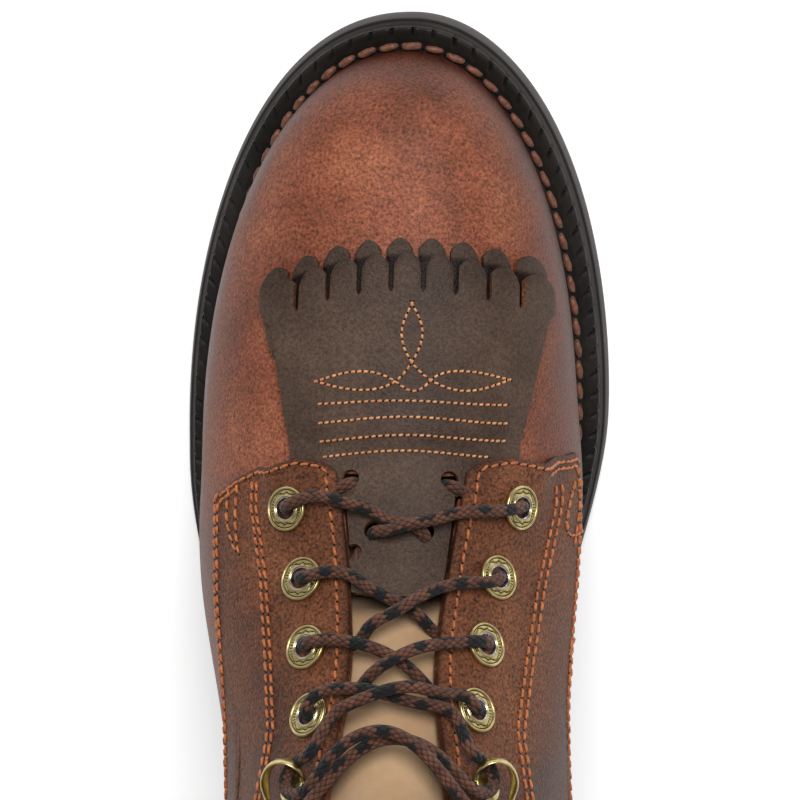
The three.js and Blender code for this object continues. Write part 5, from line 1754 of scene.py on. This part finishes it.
def dive(level, side, last_row):
    """Under the facing and up through an eyelet's barrel."""
    row, offset = fastening[side][level]
    half = float(throat_half((row + last_row) / 2))
    top = float(quarter_top(np.asarray(row), turn_at(row, offset)))
    under = [place_at(last_row + 0.3 * (row - last_row), side * (half - 1.9), -2.2),
             place_at(last_row + 0.6 * (row - last_row), side * (half + 2.4), -4.1)]
    return under + [place_at(row, offset * share, lift + (top if lift > 0 else 0)) for lift, share in BORE]


def round_hook(side, level):
    row, offset = fastening[side][level]
    away_axis, out, up = (np.array(axis) * [1, -1, 1] for axis in facing_axes(row, offset))
    seat = on_facing(row, offset)
    return [seat + away_axis * a + out * o + up * u for a, o, u in HOOK_TURN]


def half_lace(side):
    """The lace from under the kiltie up one way: it changes sides at every crossing."""
    points = [place_at(row, side * offset, lift) for row, offset, lift in START]
    row, offset = fastening[side][0]
    top = float(quarter_top(np.asarray(row), turn_at(row, offset)))
    points += [place_at(row, offset * 1.01, -0.5), place_at(row, offset, top + 1.2)]
    for level in range(4):
        crossing = CROSSINGS[(level, side)]
        points += [place_at(*spot) for spot in crossing]
        last = crossing[-1][0]
        side = -side
        if level == 0:
            points += [place_at(row, side * offset, lift) for row, offset, lift in HOLE_B]
            last = HOLE_B[-1][0]
        if level < 3:
            points += dive(level + 1, side, last)
    last_level = len(fastening[side]) - 1
    for level in range(4, last_level + 1):
        turn = round_hook(side, level)
        points += turn[:4] if level == last_level else turn
        if level == last_level:
            break
        start, end = turn[-1], round_hook(-side, level + 1)[0]
        row = (fastening[side][level][0] + fastening[-side][level + 1][0]) / 2
        centre = place_at(row - ARC_LEAD * ARC_FADE ** (level - 4), 0, ARC_HEIGHT + ARC_OVER[side])
        for share in (0.25, 0.5, 0.75):
            straight = start + (end - start) * share
            points.append(straight + (centre - (start + end) / 2) * math.sin(math.pi * share))
        side = -side
    return points


lace_route = np.array(half_lace(1)[::-1] + half_lace(-1)[1:])
lace_line = smooth_line(lace_route, LACE_STEP)
print("lace", len(lace_line), "steps,", round(LACE_STEP * len(lace_line)), "mm")

# %% [markdown]
# The braid is six strands that cross as diamonds. Round the cord and along it, two slanted counts
# tell which diamond a point lies in. Some diamonds are black, in short groups, as the flecked yarn
# makes them. The cord itself is a smooth tube, and a UV map called "braid" counts strands round it
# and crossings along it, so that the finish below can draw each diamond.


# %% Braided lace
BRAID_PITCH = 2.1
STRANDS = 6
LACE_SIDES = 20
FLECK_GAP = (5.6, 8.4)


def braid(name, line):
    tangent = np.gradient(line, axis=0)
    tangent /= np.linalg.norm(tangent, axis=1, keepdims=True)
    normal = np.zeros_like(line)
    normal[0] = np.cross(tangent[0], [0.3, 0.5, 0.8])
    for i in range(len(line)):
        v = normal[i - 1] if i else normal[0]
        v = v - tangent[i] * (v @ tangent[i])
        normal[i] = v / np.linalg.norm(v)
    other = np.cross(tangent, normal)
    angle = np.linspace(0, 2 * math.pi, LACE_SIDES, endpoint=False)
    travel = np.concatenate([[0], np.cumsum(np.linalg.norm(np.diff(line, axis=0), axis=1))])
    a, b = np.meshgrid(STRANDS * angle / (2 * math.pi), travel / BRAID_PITCH)
    u, v = a + b, b - a
    along_mm = (np.floor(u) + np.floor(v) + 1) / 2 * BRAID_PITCH
    round_at = ((np.floor(u) - np.floor(v)) / 2) % STRANDS
    random = np.random.default_rng(11)
    fleck = np.zeros_like(a)
    at = 3.0
    while at < travel[-1]:
        long, centre = random.uniform(1.4, 2.3), random.uniform(0, STRANDS)
        off = np.abs((round_at - centre + STRANDS / 2) % STRANDS - STRANDS / 2)
        fleck[(np.abs(along_mm - at) < long) & (off < random.uniform(1.2, 2.4))] = 1
        at += random.uniform(*FLECK_GAP)
    ring = normal[:, None] * np.cos(angle)[None, :, None] + other[:, None] * np.sin(angle)[None, :, None]
    points = line[:, None] + ring * LACE_RADIUS
    count = len(line)
    faces = grid_quads(count, LACE_SIDES).tolist()
    for i in range(count - 1):
        low, high = i * LACE_SIDES, (i + 1) * LACE_SIDES
        faces.append([low + LACE_SIDES - 1, low, high, high + LACE_SIDES - 1])
    faces += [list(range(LACE_SIDES)), list(range((count - 1) * LACE_SIDES, count * LACE_SIDES))]
    mesh = mesh_of(name, points.reshape(-1, 3), faces, [lace_cord])
    write(mesh, "fleck", fleck)
    corners = np.zeros(len(mesh.loops), np.int32)
    mesh.loops.foreach_get("vertex_index", corners)
    ring_at, side_at = corners // LACE_SIDES, corners % LACE_SIDES
    sizes = np.array([polygon.loop_total for polygon in mesh.polygons])
    face_of = np.repeat(np.arange(len(sizes)), sizes)
    at_seam = (face_of >= (count - 1) * (LACE_SIDES - 1)) & (side_at == 0)
    strand_at = (side_at + LACE_SIDES * at_seam) * STRANDS / LACE_SIDES
    braid_place = np.stack([strand_at, travel[ring_at] / BRAID_PITCH], -1)
    mesh.uv_layers.new(name="braid").uv.foreach_set("vector", braid_place.astype(np.float32).ravel())
    return mesh


# %% [markdown]
# The lace is waxed yarn, dull and a little fibrous. Two cosines of the "braid"
# map differ most in the middle of a diamond and are equal along its border, so their difference
# both paints shade along the borders, in the crevices between strands, and raises the strands in the bump.


# %% Lace material
def braided_cord(name, base, light, black):
    material, add, feed, shader = new_material(name, base, 0.75)
    coords = add("ShaderNodeTexCoord")
    on_piece = {"Vector": (coords, "Object")}
    dye = add("ShaderNodeTexNoise", None, blobs(3, 5), on_piece)
    tone = add("ShaderNodeValToRGB", links={"Fac": (dye, "Fac")}, stops=[(0.35, base), (0.7, light)])
    fleck = add("ShaderNodeAttribute", {"attribute_name": "fleck"})
    hard = add("ShaderNodeMapRange", inputs={1: 0.35, 2: 0.65}, links={0: (fleck, "Fac")})
    mixed = add("ShaderNodeMix", {"data_type": "RGBA"}, {7: srgb(black)}, {0: (hard, 0), 6: (tone, "Color")})
    place = add("ShaderNodeUVMap", {"uv_map": "braid"})
    parts = add("ShaderNodeSeparateXYZ", links={"Vector": (place, "UV")})
    waves = []
    for axis in ("X", "Y"):
        angle = add("ShaderNodeMath", {"operation": "MULTIPLY"}, {1: 2 * math.pi}, {0: (parts, axis)})
        waves.append(add("ShaderNodeMath", {"operation": "COSINE"}, links={0: (angle, 0)}))
    across = add("ShaderNodeMath", {"operation": "SUBTRACT"}, links={0: (waves[0], 0), 1: (waves[1], 0)})
    diamond = add("ShaderNodeMath", {"operation": "ABSOLUTE"}, links={0: (across, 0)})
    strand = add("ShaderNodeMath", {"operation": "POWER"}, {1: 0.5}, {0: (diamond, 0)})
    # Painted shade in the crevices between strands, darkest along each diamond's border.
    crevice_shade = add("ShaderNodeMapRange", inputs={1: 0.9, 2: 0.2, 3: 0.0, 4: 0.85}, links={0: (strand, 0)})
    shaded = add("ShaderNodeMix", {"data_type": "RGBA", "blend_type": "MULTIPLY"}, {7: srgb("#54402f")},
                 {0: (crevice_shade, 0), 6: (mixed, 2)})
    feed("Base Color", shaded, 2)
    fibres = add("ShaderNodeTexNoise", None, blobs(0.25, 3), on_piece)
    rough = add("ShaderNodeMath", {"operation": "MULTIPLY_ADD"}, {1: 0.25},
                {0: (fibres, "Fac"), 2: (strand, 0)})
    bump = add("ShaderNodeBump", inputs={"Strength": 0.9, "Distance": 0.0003}, links={"Height": (rough, 0)})
    feed("Normal", bump, "Normal")
    shader.inputs["Specular IOR Level"].default_value = 0.3
    shader.inputs["Sheen Weight"].default_value = 0.08
    return material


lace_cord = braided_cord("waxed_braid", "#4c2b1e", "#6f4632", "#100e0e")
lace_nodes = [f"lace_{i}" for i in range(1, 4 + len(HOOK_OFFSETS))]
place_piece("braided_lace", braid("braided_lace", lace_line), lace_nodes)

# %% [markdown]
# The floor is a wide pale sheet of studio paper. It isn't part of the boot.

# %% Floor
floor_mesh = bpy.data.meshes.new("studio_paper")
floor_mesh.from_pydata([(-4, -4, 0), (4, -4, 0), (4, 4, 0), (-4, 4, 0)], [], [(0, 1, 2, 3)])
paper, _, _, shader = new_material("studio_paper", "#f7f7f7", 0.9)
shader.inputs["Emission Color"].default_value = srgb("#ffffff")
shader.inputs["Emission Strength"].default_value = 0.3
floor_mesh.materials.append(paper)
floor = bpy.data.objects.new("studio_paper", floor_mesh)
bpy.context.scene.collection.objects.link(floor)
